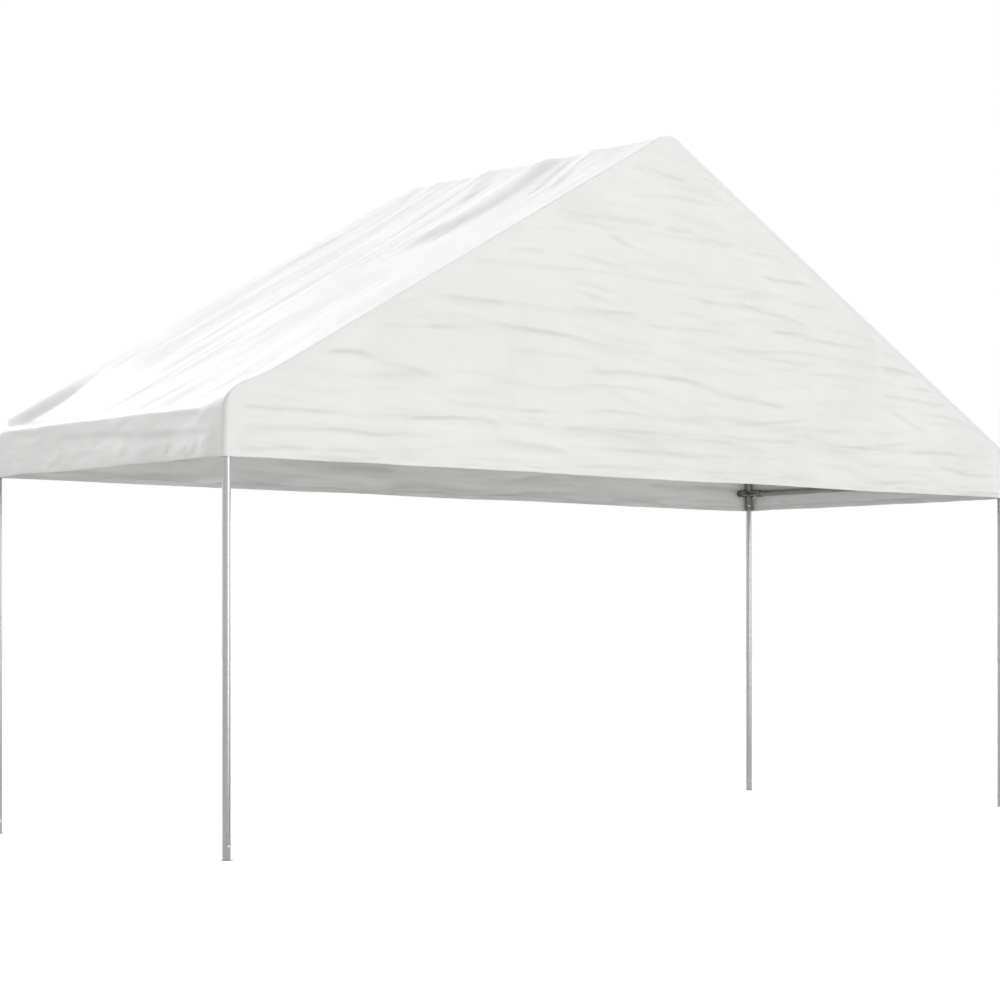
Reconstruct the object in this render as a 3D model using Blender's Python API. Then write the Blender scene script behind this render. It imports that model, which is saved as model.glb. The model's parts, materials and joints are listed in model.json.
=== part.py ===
# Party tent: one bay of white sheeting on a frame of galvanised tube, open on all four sides.
# Lengths are in metres. The origin is on the ground at the middle of the tent, +X runs across
# the gable, the front gable faces -Y, and +Z is up.

import math

import bmesh
import bpy
from mathutils import Vector

# Frame
HALF_SPAN = 2.94  # from the middle of the tent to a post's axis, across the gable
HALF_BAY = 1.115  # from the middle of the tent to a post's axis, along the ridge
RAFTER_PITCH = math.radians(29.3)
RAFTER_PEAK_Z = 3.868  # where the two rafters' axes would meet
PURLIN_Z = 2.076
ELBOW_BEND = 0.12  # bend of the eave connector's run, on its axis
PEAK_BEND = 0.12  # bend of the ridge connector's run, on its axis

# Tube and the sockets that take it
TUBE_R = 0.021
TUBE_BORE_R = 0.0198
SOCKET_R = 0.0245
SOCKET_BORE_R = 0.0213
RUN_BORE_R = 0.0192  # hollow of a connector between its sockets, which stops the tube
SOCKET_DEPTH = 0.09
STOP_LENGTH = 0.03  # from the end of a bend to where the tube stops
SPIGOT_R = 0.0195
SPIGOT_BORE_R = 0.0183
SPIGOT_LENGTH = 0.08
CLEAR = 0.0003  # gap between two pieces that touch
SIDES = 16
BEND_STEPS = 6
CUT_PAST = 0.01  # how far a bore is cut past the end that it opens
SHARP_EDGE = math.radians(40)

# Gable stub of an eave connector and the plug in its end
STUB_REACH = 0.092
PLUG_HEAD = 0.008
PLUG_TAIL = 0.02
PLUG_R = 0.0209
PLUG_DOME = ((0.5, 1), (0.85, 0.8), (1, 0.5))  # shares of the head's length and of the socket's radius

# Foot
SLEEVE_FOOT_Z = 1.961  # lower end of the socket over the post
POST_STOP_Z = 2.051
PLATE_R = 0.037
PLATE_T = 0.003
PEG_HOLE_R = 0.0045
PEG_HOLE_AT = 0.0275
FOOT_SPIGOT_TOP = 0.103

# Sheet
SHEET_T = 0.003
SHEET_OFF = 0.025  # from the frame's axis to the inside of the sheet
HEM_Z = 1.957

# Where a rafter's axis would cross the post's
RAFTER_FOOT_Z = RAFTER_PEAK_Z - HALF_SPAN * math.tan(RAFTER_PITCH)
ELBOW_TURN = math.pi / 2 - RAFTER_PITCH
UP_SLOPE = Vector((math.cos(RAFTER_PITCH), 0, math.sin(RAFTER_PITCH)))


def clear_scene():
    for obj in list(bpy.data.objects):
        bpy.data.objects.remove(obj, do_unlink=True)


def make_material(name, colour, roughness, metallic):
    material = bpy.data.materials.new(name)
    material.use_nodes = True
    shader = material.node_tree.nodes["Principled BSDF"]
    shader.inputs["Base Color"].default_value = (*colour, 1)
    shader.inputs["Roughness"].default_value = roughness
    shader.inputs["Metallic"].default_value = metallic
    return material


def ring(bm, centre, along, radius):
    """Vertices of a circle about centre, square to along."""
    runs_along_y = abs(along.y) > abs(along.x) + abs(along.z)
    side = Vector((1, 0, 0)) if runs_along_y else Vector((0, 1, 0))
    other = along.cross(side).normalized()
    turns = [2 * math.pi * i / SIDES for i in range(SIDES)]
    return [bm.verts.new(centre + radius * (math.cos(t) * side + math.sin(t) * other)) for t in turns]


def bridge(bm, first, second):
    for i in range(SIDES):
        j = (i + 1) % SIDES
        bm.faces.new((first[i], first[j], second[j], second[i]))


def lofted_mesh(name, stations, hollow):
    """A mesh through rings at (centre, direction, radius). A hollow one ends where it starts."""
    bm = bmesh.new()
    rings = [ring(bm, centre, along, radius) for centre, along, radius in stations]
    for first, second in zip(rings, rings[1:]):
        bridge(bm, first, second)
    if hollow:
        bridge(bm, rings[-1], rings[0])
    else:
        bm.faces.new(reversed(rings[0]))
        bm.faces.new(rings[-1])
    bmesh.ops.recalc_face_normals(bm, faces=bm.faces)
    mesh = bpy.data.meshes.new(name)
    bm.to_mesh(mesh)
    bm.free()
    mesh.shade_smooth()
    mesh.set_sharp_from_angle(angle=SHARP_EDGE)
    return mesh


def rod_stations(start, end, radius):
    along = (end - start).normalized()
    return [(start, along, radius), (end, along, radius)]


def tube_stations(start, end, radius, bore):
    return rod_stations(start, end, radius) + rod_stations(start, end, bore)[::-1]


def place(name, mesh, material, parent):
    if not mesh.materials:
        mesh.materials.append(material)
    obj = bpy.data.objects.new(name, mesh)
    bpy.context.scene.collection.objects.link(obj)
    obj.parent = parent
    return obj


def combined(name, base, joined, cut):
    """Base with the joined meshes added and then the cut ones taken away."""
    body = bpy.data.objects.new(name, base)
    bpy.context.scene.collection.objects.link(body)
    helpers = []
    for operation, meshes in (("UNION", joined), ("DIFFERENCE", cut)):
        for mesh in meshes:
            helper = bpy.data.objects.new(name + "_helper", mesh)
            helper.hide_render = True
            helper.display_type = "WIRE"
            bpy.context.scene.collection.objects.link(helper)
            helpers.append(helper)
            boolean = body.modifiers.new(operation.lower(), "BOOLEAN")
            boolean.operation = operation
            boolean.solver = "EXACT"
            boolean.object = helper
    bpy.context.view_layer.update()
    graph = bpy.context.evaluated_depsgraph_get()
    result = bpy.data.meshes.new_from_object(body.evaluated_get(graph))
    result.name = name
    for obj in [body, *helpers]:
        bpy.data.objects.remove(obj, do_unlink=True)
    return result


def elbow_centreline():
    """Points and directions round the eave bend, with x measured inwards from the post's axis."""
    start_z = RAFTER_FOOT_Z - ELBOW_BEND * math.tan(ELBOW_TURN / 2)
    points = []
    for i in range(BEND_STEPS + 1):
        turn = ELBOW_TURN * i / BEND_STEPS
        inwards = ELBOW_BEND * (1 - math.cos(turn))
        upwards = ELBOW_BEND * math.sin(turn)
        along = Vector((math.sin(turn), 0, math.cos(turn)))
        points.append((Vector((inwards, 0, start_z + upwards)), along))
    return points


def peak_centreline():
    """Points and directions over the ridge from the left rafter to the right one."""
    centre_z = RAFTER_PEAK_Z - PEAK_BEND / math.cos(RAFTER_PITCH)
    points = []
    for i in range(BEND_STEPS + 1):
        turn = RAFTER_PITCH * (1 - 2 * i / BEND_STEPS)
        around = Vector((-math.sin(turn), 0, math.cos(turn)))
        along = Vector((math.cos(turn), 0, math.sin(turn)))
        points.append((Vector((0, 0, centre_z)) + PEAK_BEND * around, along))
    return points


def eave_run(radius, past):
    """Stations of the connector's bent run, from the foot of the post's socket to the rafter's end."""
    bend = elbow_centreline()
    low = Vector((0, 0, SLEEVE_FOOT_Z - past))
    high = bend[-1][0] + UP_SLOPE * (STOP_LENGTH + SOCKET_DEPTH + past)
    middle = [(point, along, radius) for point, along in bend]
    return [(low, bend[0][1], radius), *middle, (high, UP_SLOPE, radius)]


def socket_bore(centre, along, length):
    """Cutter for a straight socket that runs from centre to this length."""
    stop = centre + along * STOP_LENGTH
    end = centre + along * (length + CUT_PAST)
    return lofted_mesh("socket_bore", rod_stations(stop, end, SOCKET_BORE_R), False)


def side_socket(centre, along, length):
    return lofted_mesh("side_socket", rod_stations(centre, centre + along * length, SOCKET_R), False)


def eave_connector_mesh():
    """Four-way connector for the front left post: post below, rafter, purlin and gable stub."""
    full_length = STOP_LENGTH + SOCKET_DEPTH
    axis = Vector((0, 0, PURLIN_Z))
    to_purlin = Vector((0, 1, 0))
    to_stub = Vector((1, 0, 0))
    joined = [side_socket(axis, to_purlin, full_length), side_socket(axis, to_stub, STUB_REACH)]
    post_low = Vector((0, 0, SLEEVE_FOOT_Z - CUT_PAST))
    post_high = Vector((0, 0, POST_STOP_Z))
    cut = [
        lofted_mesh("run_bore", eave_run(RUN_BORE_R, CUT_PAST), False),
        lofted_mesh("post_bore", rod_stations(post_low, post_high, SOCKET_BORE_R), False),
        socket_bore(elbow_centreline()[-1][0], UP_SLOPE, full_length),
        socket_bore(axis, to_purlin, full_length),
        socket_bore(axis, to_stub, STUB_REACH),
    ]
    base = lofted_mesh("run", eave_run(SOCKET_R, 0), False)
    return combined("eave_connector", base, joined, cut)


def ridge_run(radius, past):
    """Stations of the ridge connector's bent run, from one rafter's end to the other's."""
    bend = peak_centreline()
    reach = STOP_LENGTH + SOCKET_DEPTH + past
    down_left = bend[0][0] - bend[0][1] * reach
    down_right = bend[-1][0] + bend[-1][1] * reach
    middle = [(point, along, radius) for point, along in bend]
    return [(down_left, bend[0][1], radius), *middle, (down_right, bend[-1][1], radius)]


def ridge_connector_mesh():
    """Three-way connector for the front peak: two rafters and the ridge purlin behind it."""
    full_length = STOP_LENGTH + SOCKET_DEPTH
    bend = peak_centreline()
    axis = bend[BEND_STEPS // 2][0]
    to_purlin = Vector((0, 1, 0))
    cut = [
        lofted_mesh("run_bore", ridge_run(RUN_BORE_R, CUT_PAST), False),
        socket_bore(axis, to_purlin, full_length),
        socket_bore(bend[0][0], -bend[0][1], full_length),
        socket_bore(bend[-1][0], bend[-1][1], full_length),
    ]
    base = lofted_mesh("run", ridge_run(SOCKET_R, 0), False)
    return combined("ridge_connector", base, [side_socket(axis, to_purlin, full_length)], cut)


def mirrored_copy(mesh, name):
    """The same piece for the other hand, mirrored in X."""
    bm = bmesh.new()
    bm.from_mesh(mesh)
    for vertex in bm.verts:
        vertex.co.x = -vertex.co.x
    bmesh.ops.reverse_faces(bm, faces=bm.faces)
    other = bpy.data.meshes.new(name)
    bm.to_mesh(other)
    bm.free()
    other.shade_smooth()
    other.set_sharp_from_angle(angle=SHARP_EDGE)
    return other


def foot_plate_mesh():
    """Round plate with two peg holes and a spigot that stands inside the post."""
    up = Vector((0, 0, 1))
    rises = [
        (0, PLATE_R),
        (PLATE_T, PLATE_R),
        (PLATE_T, SPIGOT_R),
        (FOOT_SPIGOT_TOP, SPIGOT_R),
        (FOOT_SPIGOT_TOP, SPIGOT_BORE_R),
        (PLATE_T, SPIGOT_BORE_R),
    ]
    base = lofted_mesh("plate", [(Vector((0, 0, z)), up, radius) for z, radius in rises], False)
    holes = []
    for side in (-1, 1):
        low = Vector((side * PEG_HOLE_AT, 0, -PLATE_T))
        high = Vector((side * PEG_HOLE_AT, 0, 2 * PLATE_T))
        holes.append(lofted_mesh("peg_hole", rod_stations(low, high, PEG_HOLE_R), False))
    return combined("foot_plate", base, [], holes)


def end_plug_mesh():
    """Plug for the gable stub, with its domed head pointing along +X."""
    along = Vector((1, 0, 0))
    steps = [
        (STUB_REACH - PLUG_TAIL, PLUG_R),
        (STUB_REACH + CLEAR, PLUG_R),
        (STUB_REACH + CLEAR, SOCKET_R),
    ]
    steps += [(STUB_REACH + length * PLUG_HEAD, radius * SOCKET_R) for length, radius in PLUG_DOME]
    return lofted_mesh("end_plug", [(Vector((x, 0, 0)), along, radius) for x, radius in steps], False)


def post_mesh():
    low = Vector((0, 0, PLATE_T + CLEAR))
    high = Vector((0, 0, POST_STOP_Z - CLEAR))
    return lofted_mesh("post", tube_stations(low, high, TUBE_R, TUBE_BORE_R), True)


def purlin_mesh():
    reach = HALF_BAY - STOP_LENGTH - CLEAR
    stations = tube_stations(Vector((0, -reach, 0)), Vector((0, reach, 0)), TUBE_R, TUBE_BORE_R)
    return lofted_mesh("purlin", stations, True)


def rafter_ends():
    """Lower stop, middle joint and upper stop of a left rafter, as points on its axis."""
    foot = elbow_centreline()[-1][0] - Vector((HALF_SPAN, 0, 0)) + UP_SLOPE * (STOP_LENGTH + CLEAR)
    peak = peak_centreline()[0][0] - UP_SLOPE * (STOP_LENGTH + CLEAR)
    return foot, (foot + peak) / 2, peak


def lower_rafter_mesh():
    foot, joint, _ = rafter_ends()
    top = joint - UP_SLOPE * CLEAR
    return lofted_mesh("lower_rafter", tube_stations(foot, top, TUBE_R, TUBE_BORE_R), True)


def upper_rafter_mesh():
    """The upper tube is drawn down at its foot to enter the lower one."""
    _, joint, peak = rafter_ends()
    tip = joint - UP_SLOPE * SPIGOT_LENGTH
    neck = joint + UP_SLOPE * (TUBE_R - SPIGOT_R)
    runs = [
        (tip, SPIGOT_R),
        (joint, SPIGOT_R),
        (neck, TUBE_R),
        (peak, TUBE_R),
        (peak, TUBE_BORE_R),
        (neck, TUBE_BORE_R),
        (joint, SPIGOT_BORE_R),
        (tip, SPIGOT_BORE_R),
    ]
    return lofted_mesh("upper_rafter", [(point, UP_SLOPE, radius) for point, radius in runs], True)


def roof_profile(offset):
    """The left half of the roof's section at this distance outside the frame's axis.

    It gives the points of the shoulder and of the slope up to the ridge, from low to high.
    """
    shoulder = []
    for point, along in elbow_centreline():
        outward = Vector((-along.z, 0, along.x))
        shoulder.append(point - Vector((HALF_SPAN, 0, 0)) + outward * offset)
    ridge = []
    for point, along in peak_centreline()[: BEND_STEPS // 2 + 1]:
        outward = Vector((-along.z, 0, along.x))
        ridge.append(point + outward * offset)
    return shoulder, ridge


def sheet_mesh(name, section, low_y, high_y):
    """A closed section in the XZ plane drawn out along Y."""
    bm = bmesh.new()
    near = [bm.verts.new((point.x, low_y, point.z)) for point in section]
    face = bm.faces.new(near)
    drawn = bmesh.ops.extrude_face_region(bm, geom=[face])
    moved = [item for item in drawn["geom"] if isinstance(item, bmesh.types.BMVert)]
    bmesh.ops.translate(bm, verts=moved, vec=(0, high_y - low_y, 0))
    bmesh.ops.recalc_face_normals(bm, faces=bm.faces)
    mesh = bpy.data.meshes.new(name)
    bm.to_mesh(mesh)
    bm.free()
    return mesh


def sheet_reach():
    """Half the sheet's length along the ridge, to the outside of a gable."""
    return HALF_BAY + SHEET_OFF + SHEET_T


def slope_mesh():
    """The left roof slope, from the end of the shoulder to the ridge."""
    inner_shoulder, inner_ridge = roof_profile(SHEET_OFF)
    outer_shoulder, outer_ridge = roof_profile(SHEET_OFF + SHEET_T)
    apart = Vector((-CLEAR / 2, 0, 0))
    start = UP_SLOPE * CLEAR
    inner = [inner_shoulder[-1] + start, *inner_ridge[:-1], inner_ridge[-1] + apart]
    outer = [outer_shoulder[-1] + start, *outer_ridge[:-1], outer_ridge[-1] + apart]
    return sheet_mesh("slope", inner + outer[::-1], -sheet_reach(), sheet_reach())


def shoulder_mesh():
    """The left shoulder, the bent strip over the two elbows."""
    inner, _ = roof_profile(SHEET_OFF)
    outer, _ = roof_profile(SHEET_OFF + SHEET_T)
    return sheet_mesh("shoulder", inner + outer[::-1], -sheet_reach(), sheet_reach())


def valance_mesh():
    """The left valance, hanging from the shoulder to the hem."""
    top = elbow_centreline()[0][0].z - CLEAR
    inner_x = -HALF_SPAN - SHEET_OFF
    outer_x = inner_x - SHEET_T
    corners = ((inner_x, HEM_Z), (inner_x, top), (outer_x, top), (outer_x, HEM_Z))
    section = [Vector((x, 0, z)) for x, z in corners]
    return sheet_mesh("valance", section, -sheet_reach(), sheet_reach())


def gable_mesh():
    """The front gable, one upright sheet from the hem to the underside of the roof."""
    shoulder, ridge = roof_profile(SHEET_OFF - CLEAR)
    hem = Vector((-HALF_SPAN - SHEET_OFF + CLEAR, 0, HEM_Z))
    left = [hem, *shoulder, *ridge]
    right = [Vector((-point.x, 0, point.z)) for point in left[:-1]]
    face_y = -HALF_BAY - SHEET_OFF
    return sheet_mesh("gable", left + right[::-1], face_y - SHEET_T, face_y)


def build_corners(steel, plastic, tent):
    """Foot, post, eave connector and end plug at each of the four posts."""
    left_hand = eave_connector_mesh()
    right_hand = mirrored_copy(left_hand, "eave_connector_right")
    plate = foot_plate_mesh()
    post = post_mesh()
    plug = end_plug_mesh()
    half_turn = math.pi
    corners = (
        ("front_left", -1, -1, left_hand, 0, 0),
        ("front_right", 1, -1, right_hand, 0, half_turn),
        ("back_right", 1, 1, left_hand, half_turn, half_turn),
        ("back_left", -1, 1, right_hand, half_turn, 0),
    )
    for corner, side, end, connector, connector_turn, plug_turn in corners:
        at = Vector((side * HALF_SPAN, end * HALF_BAY, 0))
        place("foot_plate_" + corner, plate, steel, tent).location = at
        place("post_" + corner, post, steel, tent).location = at
        fitting = place("eave_connector_" + corner, connector, steel, tent)
        fitting.location = at
        fitting.rotation_euler.z = connector_turn
        cap = place("end_plug_" + corner, plug, plastic, tent)
        cap.location = at + Vector((0, 0, PURLIN_Z))
        cap.rotation_euler.z = plug_turn


def build_rafters(steel, tent):
    lower = lower_rafter_mesh()
    upper = upper_rafter_mesh()
    for end, end_y in (("front", -HALF_BAY), ("back", HALF_BAY)):
        for side, turn in (("left", 0), ("right", math.pi)):
            for part, mesh in (("lower_rafter", lower), ("upper_rafter", upper)):
                rafter = place(f"{part}_{end}_{side}", mesh, steel, tent)
                rafter.location.y = end_y
                rafter.rotation_euler.z = turn


def build_ridge(steel, tent):
    connector = ridge_connector_mesh()
    for end, end_y, turn in (("front", -HALF_BAY, 0), ("back", HALF_BAY, math.pi)):
        fitting = place("ridge_connector_" + end, connector, steel, tent)
        fitting.location.y = end_y
        fitting.rotation_euler.z = turn


def build_purlins(steel, tent):
    purlin = purlin_mesh()
    ridge_z = peak_centreline()[BEND_STEPS // 2][0].z
    places = (
        ("ridge_purlin", 0, ridge_z),
        ("eave_purlin_left", -HALF_SPAN, PURLIN_Z),
        ("eave_purlin_right", HALF_SPAN, PURLIN_Z),
    )
    for name, x, z in places:
        place(name, purlin, steel, tent).location = (x, 0, z)


def build_canopy(sheet, tent):
    stretches = (("slope", slope_mesh()), ("shoulder", shoulder_mesh()), ("valance", valance_mesh()))
    for side, turn in (("left", 0), ("right", math.pi)):
        for stretch, mesh in stretches:
            place(f"canopy_{stretch}_{side}", mesh, sheet, tent).rotation_euler.z = turn
    gable = gable_mesh()
    for end, turn in (("front", 0), ("back", math.pi)):
        place("canopy_gable_" + end, gable, sheet, tent).rotation_euler.z = turn


def main():
    clear_scene()
    steel = make_material("galvanised_tube", (0.55, 0.56, 0.57), 0.35, 0.9)
    plastic = make_material("black_plastic", (0.02, 0.02, 0.02), 0.5, 0)
    sheet = make_material("white_sheeting", (0.86, 0.87, 0.86), 0.45, 0)
    tent = bpy.data.objects.new("party_tent", None)
    bpy.context.scene.collection.objects.link(tent)
    build_corners(steel, plastic, tent)
    build_rafters(steel, tent)
    build_ridge(steel, tent)
    build_purlins(steel, tent)
    build_canopy(sheet, tent)


main()
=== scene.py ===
import json
import math

import bmesh
import bpy
import numpy as np
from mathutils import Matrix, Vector

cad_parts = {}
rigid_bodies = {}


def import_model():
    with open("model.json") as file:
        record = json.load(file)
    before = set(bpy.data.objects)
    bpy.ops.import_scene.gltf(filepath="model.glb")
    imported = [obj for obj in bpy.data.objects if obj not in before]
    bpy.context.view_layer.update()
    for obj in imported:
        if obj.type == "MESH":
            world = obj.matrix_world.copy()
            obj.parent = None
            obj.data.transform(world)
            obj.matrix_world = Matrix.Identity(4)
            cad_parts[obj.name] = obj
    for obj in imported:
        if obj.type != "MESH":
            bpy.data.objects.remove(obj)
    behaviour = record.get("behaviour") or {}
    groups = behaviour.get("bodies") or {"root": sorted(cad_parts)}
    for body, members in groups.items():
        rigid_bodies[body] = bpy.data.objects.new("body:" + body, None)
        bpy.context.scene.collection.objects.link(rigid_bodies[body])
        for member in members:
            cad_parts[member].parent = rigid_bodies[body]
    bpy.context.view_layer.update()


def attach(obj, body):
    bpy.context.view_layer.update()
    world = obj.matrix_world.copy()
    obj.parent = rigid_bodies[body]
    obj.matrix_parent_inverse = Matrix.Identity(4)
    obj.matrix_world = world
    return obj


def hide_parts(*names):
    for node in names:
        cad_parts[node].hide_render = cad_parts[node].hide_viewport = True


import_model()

# The tent's own lines, in metres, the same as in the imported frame.
# +X runs across the gable, the front gable faces -Y, +Z is up.
tentLines = {
    "halfSpan": 2.94,  # middle of the tent to a post's axis, across the gable
    "halfBay": 1.115,  # the same along the ridge
    "pitch": math.radians(29.3),
    "peakZ": 3.868,  # where the axes of two rafters would meet
    "purlinZ": 2.076,
    "bend": 0.12,  # radius of the bent fittings, on the axis
    "hemZ": 1.957,
}
slopeDir = Vector((math.cos(tentLines["pitch"]), 0, math.sin(tentLines["pitch"])))
eaveTurn = math.pi / 2 - tentLines["pitch"]
upward = Vector((0, 0, 1))

# Each corner's way from the middle across and along the ridge, and the end of its nodes' names
corners = {
    "FrontLeft": (-1, -1, "front_left"),
    "FrontRight": (1, -1, "front_right"),
    "BackLeft": (-1, 1, "back_left"),
    "BackRight": (1, 1, "back_right"),
}


def newMaterial(name):
    material = bpy.data.materials.new(name)
    material.use_nodes = True
    tree = material.node_tree
    tree.nodes.clear()
    return material, tree


def putIn(tree, socket, value):
    if isinstance(value, bpy.types.NodeSocket):
        tree.links.new(value, socket)
    else:
        socket.default_value = value


def addNode(tree, kind, **inputs):
    node = tree.nodes.new(kind)
    for name, value in inputs.items():
        putIn(tree, node.inputs[name.replace("_", " ")], value)
    return node


def addMath(tree, operation, *values):
    node = tree.nodes.new("ShaderNodeMath")
    node.operation = operation
    for socket, value in zip(node.inputs, values):
        putIn(tree, socket, value)
    return node.outputs[0]


def addRamp(tree, factor, *stops):
    # Stops are (position, colour), or (position, value) for a grey
    node = addNode(tree, "ShaderNodeValToRGB", Fac=factor)
    for element, (position, colour) in zip(node.color_ramp.elements, stops):
        element.position = position
        element.color = (*colour, 1) if isinstance(colour, tuple) else (colour, colour, colour, 1)
    return node.outputs["Color"]


def addBump(tree, height, strength, distance, under=None):
    node = addNode(tree, "ShaderNodeBump", Strength=strength, Distance=distance, Height=height)
    if under is not None:
        tree.links.new(under, node.inputs["Normal"])
    return node.outputs["Normal"]


def mixShaders(tree, kind, first, second):
    node = tree.nodes.new(kind)
    shaders = [socket for socket in node.inputs if socket.type == "SHADER"]
    tree.links.new(first.outputs[0], shaders[0])
    tree.links.new(second.outputs[0], shaders[1])
    return node


def endIn(tree, kind, shader):
    tree.links.new(shader.outputs[0], tree.nodes.new(kind).inputs["Surface"])


def objectPoint(tree, stretch=(1, 1, 1)):
    coords = tree.nodes.new("ShaderNodeTexCoord")
    mapping = addNode(tree, "ShaderNodeMapping", Vector=coords.outputs["Object"], Scale=stretch)
    return mapping.outputs["Vector"]


def addNoise(tree, vector, scale, detail, roughness):
    inputs = {"Vector": vector, "Scale": scale, "Detail": detail, "Roughness": roughness}
    return addNode(tree, "ShaderNodeTexNoise", **inputs).outputs["Fac"]


sheetingLook = {
    "light": (0.905, 0.912, 0.900),
    "darker": (0.865, 0.872, 0.858),
    # darker, warmer colour that paints shade into the creases
    "creaseShadeColour": (0.80, 0.80, 0.775),
    "through": (0.90, 0.89, 0.86),  # colour of the light that comes through
    "throughShare": 0.14,
    "dullRoughness": 0.48,
    "lightRoughness": 0.38,
    "specular": 0.35,
    "tapeWidth": 0.0026,  # the woven tapes under the coating
    "weaveDepth": 0.00006,
    "crinkleDepth": 0.0011,
}


def makeSheeting():
    look = sheetingLook
    material, tree = newMaterial("coatedWovenSheeting")
    point = objectPoint(tree)
    patches = addNoise(tree, point, 1.7, 4.0, 0.55)
    base = addRamp(tree, patches, (0.3, look["darker"]), (0.62, look["light"]))
    # Painted shade: along the folds, the creaseShade attribute mixes the colour towards the darker crease
    # colour
    crease = tree.nodes.new("ShaderNodeAttribute")
    crease.attribute_name = "creaseShade"
    creaseShaded = tree.nodes.new("ShaderNodeMix")
    creaseShaded.data_type = "RGBA"
    for index, value in ((0, crease.outputs["Fac"]), (6, base), (7, (*look["creaseShadeColour"], 1))):
        putIn(tree, creaseShaded.inputs[index], value)

    # Woven tapes: two sets of bands, one over the other
    split = addNode(tree, "ShaderNodeSeparateXYZ", Vector=point)
    turns = 2 * math.pi / look["tapeWidth"]
    level = addMath(tree, "ADD", split.outputs["X"], split.outputs["Y"])
    upBands = addMath(tree, "SINE", addMath(tree, "MULTIPLY", split.outputs["Z"], turns))
    acrossBands = addMath(tree, "SINE", addMath(tree, "MULTIPLY", level, turns))
    weave = addMath(tree, "MULTIPLY", upBands, acrossBands)

    crinkles = addNoise(tree, point, 26.0, 5.0, 0.6)
    ripples = addNoise(tree, objectPoint(tree, (1, 1, 3)), 6.0, 3.0, 0.5)
    relief = addMath(tree, "ADD", crinkles, addMath(tree, "MULTIPLY", ripples, 1.6))
    crinkled = addBump(tree, relief, 1.0, look["crinkleDepth"])
    woven = addBump(tree, weave, 1.0, look["weaveDepth"], crinkled)

    gloss = addRamp(tree, patches, (0.3, look["dullRoughness"]), (0.7, look["lightRoughness"]))
    inputs = {"Base_Color": creaseShaded.outputs[2], "Roughness": gloss, "Normal": woven}
    face = addNode(tree, "ShaderNodeBsdfPrincipled", **inputs)
    face.inputs["Specular IOR Level"].default_value = look["specular"]
    through = addNode(tree, "ShaderNodeBsdfTranslucent", Color=(*look["through"], 1), Normal=crinkled)
    both = mixShaders(tree, "ShaderNodeMixShader", face, through)
    both.inputs["Fac"].default_value = look["throughShare"]
    endIn(tree, "ShaderNodeOutputMaterial", both)
    return material


steelLook = {
    "name": "galvanisedTube",
    "bright": (0.545, 0.545, 0.55),
    "grey": (0.515, 0.515, 0.522),
    "smooth": 0.15,
    "rough": 0.18,
    "spangleSize": 0.010,
    "scuffDepth": 0.00002,
}
# Painted shade: fittings and purlins get a darker, greyer copy of the zinc, which stands in for the shade
# under the canopy
shadedSteelLook = {
    "name": "dullGalvanisedTube",
    "bright": (0.30, 0.298, 0.295),
    "grey": (0.26, 0.258, 0.255),
    "smooth": 0.15,
    "rough": 0.21,
    "spangleSize": 0.012,
    "scuffDepth": 0.00002,
}


def makeSteel(look):
    material, tree = newMaterial(look["name"])
    point = objectPoint(tree)
    scale = 1 / look["spangleSize"]
    spangle = addNode(tree, "ShaderNodeTexVoronoi", Vector=point, Scale=scale, Randomness=1.0)
    cell = addNode(tree, "ShaderNodeSeparateColor", Color=spangle.outputs["Color"])
    cloud = addNoise(tree, point, 14.0, 4.0, 0.6)
    tone = addMath(tree, "ADD", addMath(tree, "MULTIPLY", cell.outputs["Red"], 0.35), cloud)
    base = addRamp(tree, tone, (0.35, look["grey"]), (0.85, look["bright"]))
    gloss = addRamp(tree, tone, (0.3, look["rough"]), (0.9, look["smooth"]))
    scuffed = addBump(tree, addNoise(tree, point, 38.0, 2.0, 0.5), 0.35, look["scuffDepth"])
    inputs = {"Metallic": 1.0, "Base_Color": base, "Roughness": gloss, "Normal": scuffed}
    endIn(tree, "ShaderNodeOutputMaterial", addNode(tree, "ShaderNodeBsdfPrincipled", **inputs))
    return material


boltLook = {"bright": (0.86, 0.86, 0.84), "grey": (0.62, 0.62, 0.60), "smooth": 0.22, "rough": 0.45}


def makeBoltZinc():
    look = boltLook
    material, tree = newMaterial("zincedBolt")
    cloud = addNoise(tree, objectPoint(tree), 90.0, 3.0, 0.6)
    base = addRamp(tree, cloud, (0.35, look["grey"]), (0.65, look["bright"]))
    gloss = addRamp(tree, cloud, (0.3, look["rough"]), (0.7, look["smooth"]))
    shader = addNode(tree, "ShaderNodeBsdfPrincipled", Metallic=1.0, Base_Color=base, Roughness=gloss)
    endIn(tree, "ShaderNodeOutputMaterial", shader)
    return material


plasticLook = {
    "dark": (0.075, 0.075, 0.076),
    "worn": (0.125, 0.125, 0.126),
    "roughness": 0.48,
    "grainDepth": 0.00012,
}


def makePlastic():
    look = plasticLook
    material, tree = newMaterial("mouldedBlackPlastic")
    point = objectPoint(tree)
    base = addRamp(tree, addNoise(tree, point, 60.0, 3.0, 0.6), (0.4, look["dark"]), (0.75, look["worn"]))
    grain = addBump(tree, addNoise(tree, point, 1400.0, 2.0, 0.5), 0.5, look["grainDepth"])
    inputs = {"Base_Color": base, "Roughness": look["roughness"], "Normal": grain}
    endIn(tree, "ShaderNodeOutputMaterial", addNode(tree, "ShaderNodeBsdfPrincipled", **inputs))
    return material


tubeSizes = {
    "radius": 0.021,
    "bore": 0.0198,
    "rim": 0.0006,  # bevel of a tube's end
    "socket": 0.0245,
    "socketBore": 0.0213,
    "socketDepth": 0.09,
    "spigot": 0.0195,
    "spigotBore": 0.0183,
    "spigotLength": 0.08,
    "stop": 0.03,  # end of a bend, or an axis, to where the tube stops
    "gap": 0.0003,
    "beadRadius": 0.0022,
    "bendSteps": 14,
}


def circle(centre, side, other, radius, count):
    turns = [2 * math.pi * i / count for i in range(count)]
    return [centre + radius * (math.cos(t) * side + math.sin(t) * other) for t in turns]


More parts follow.
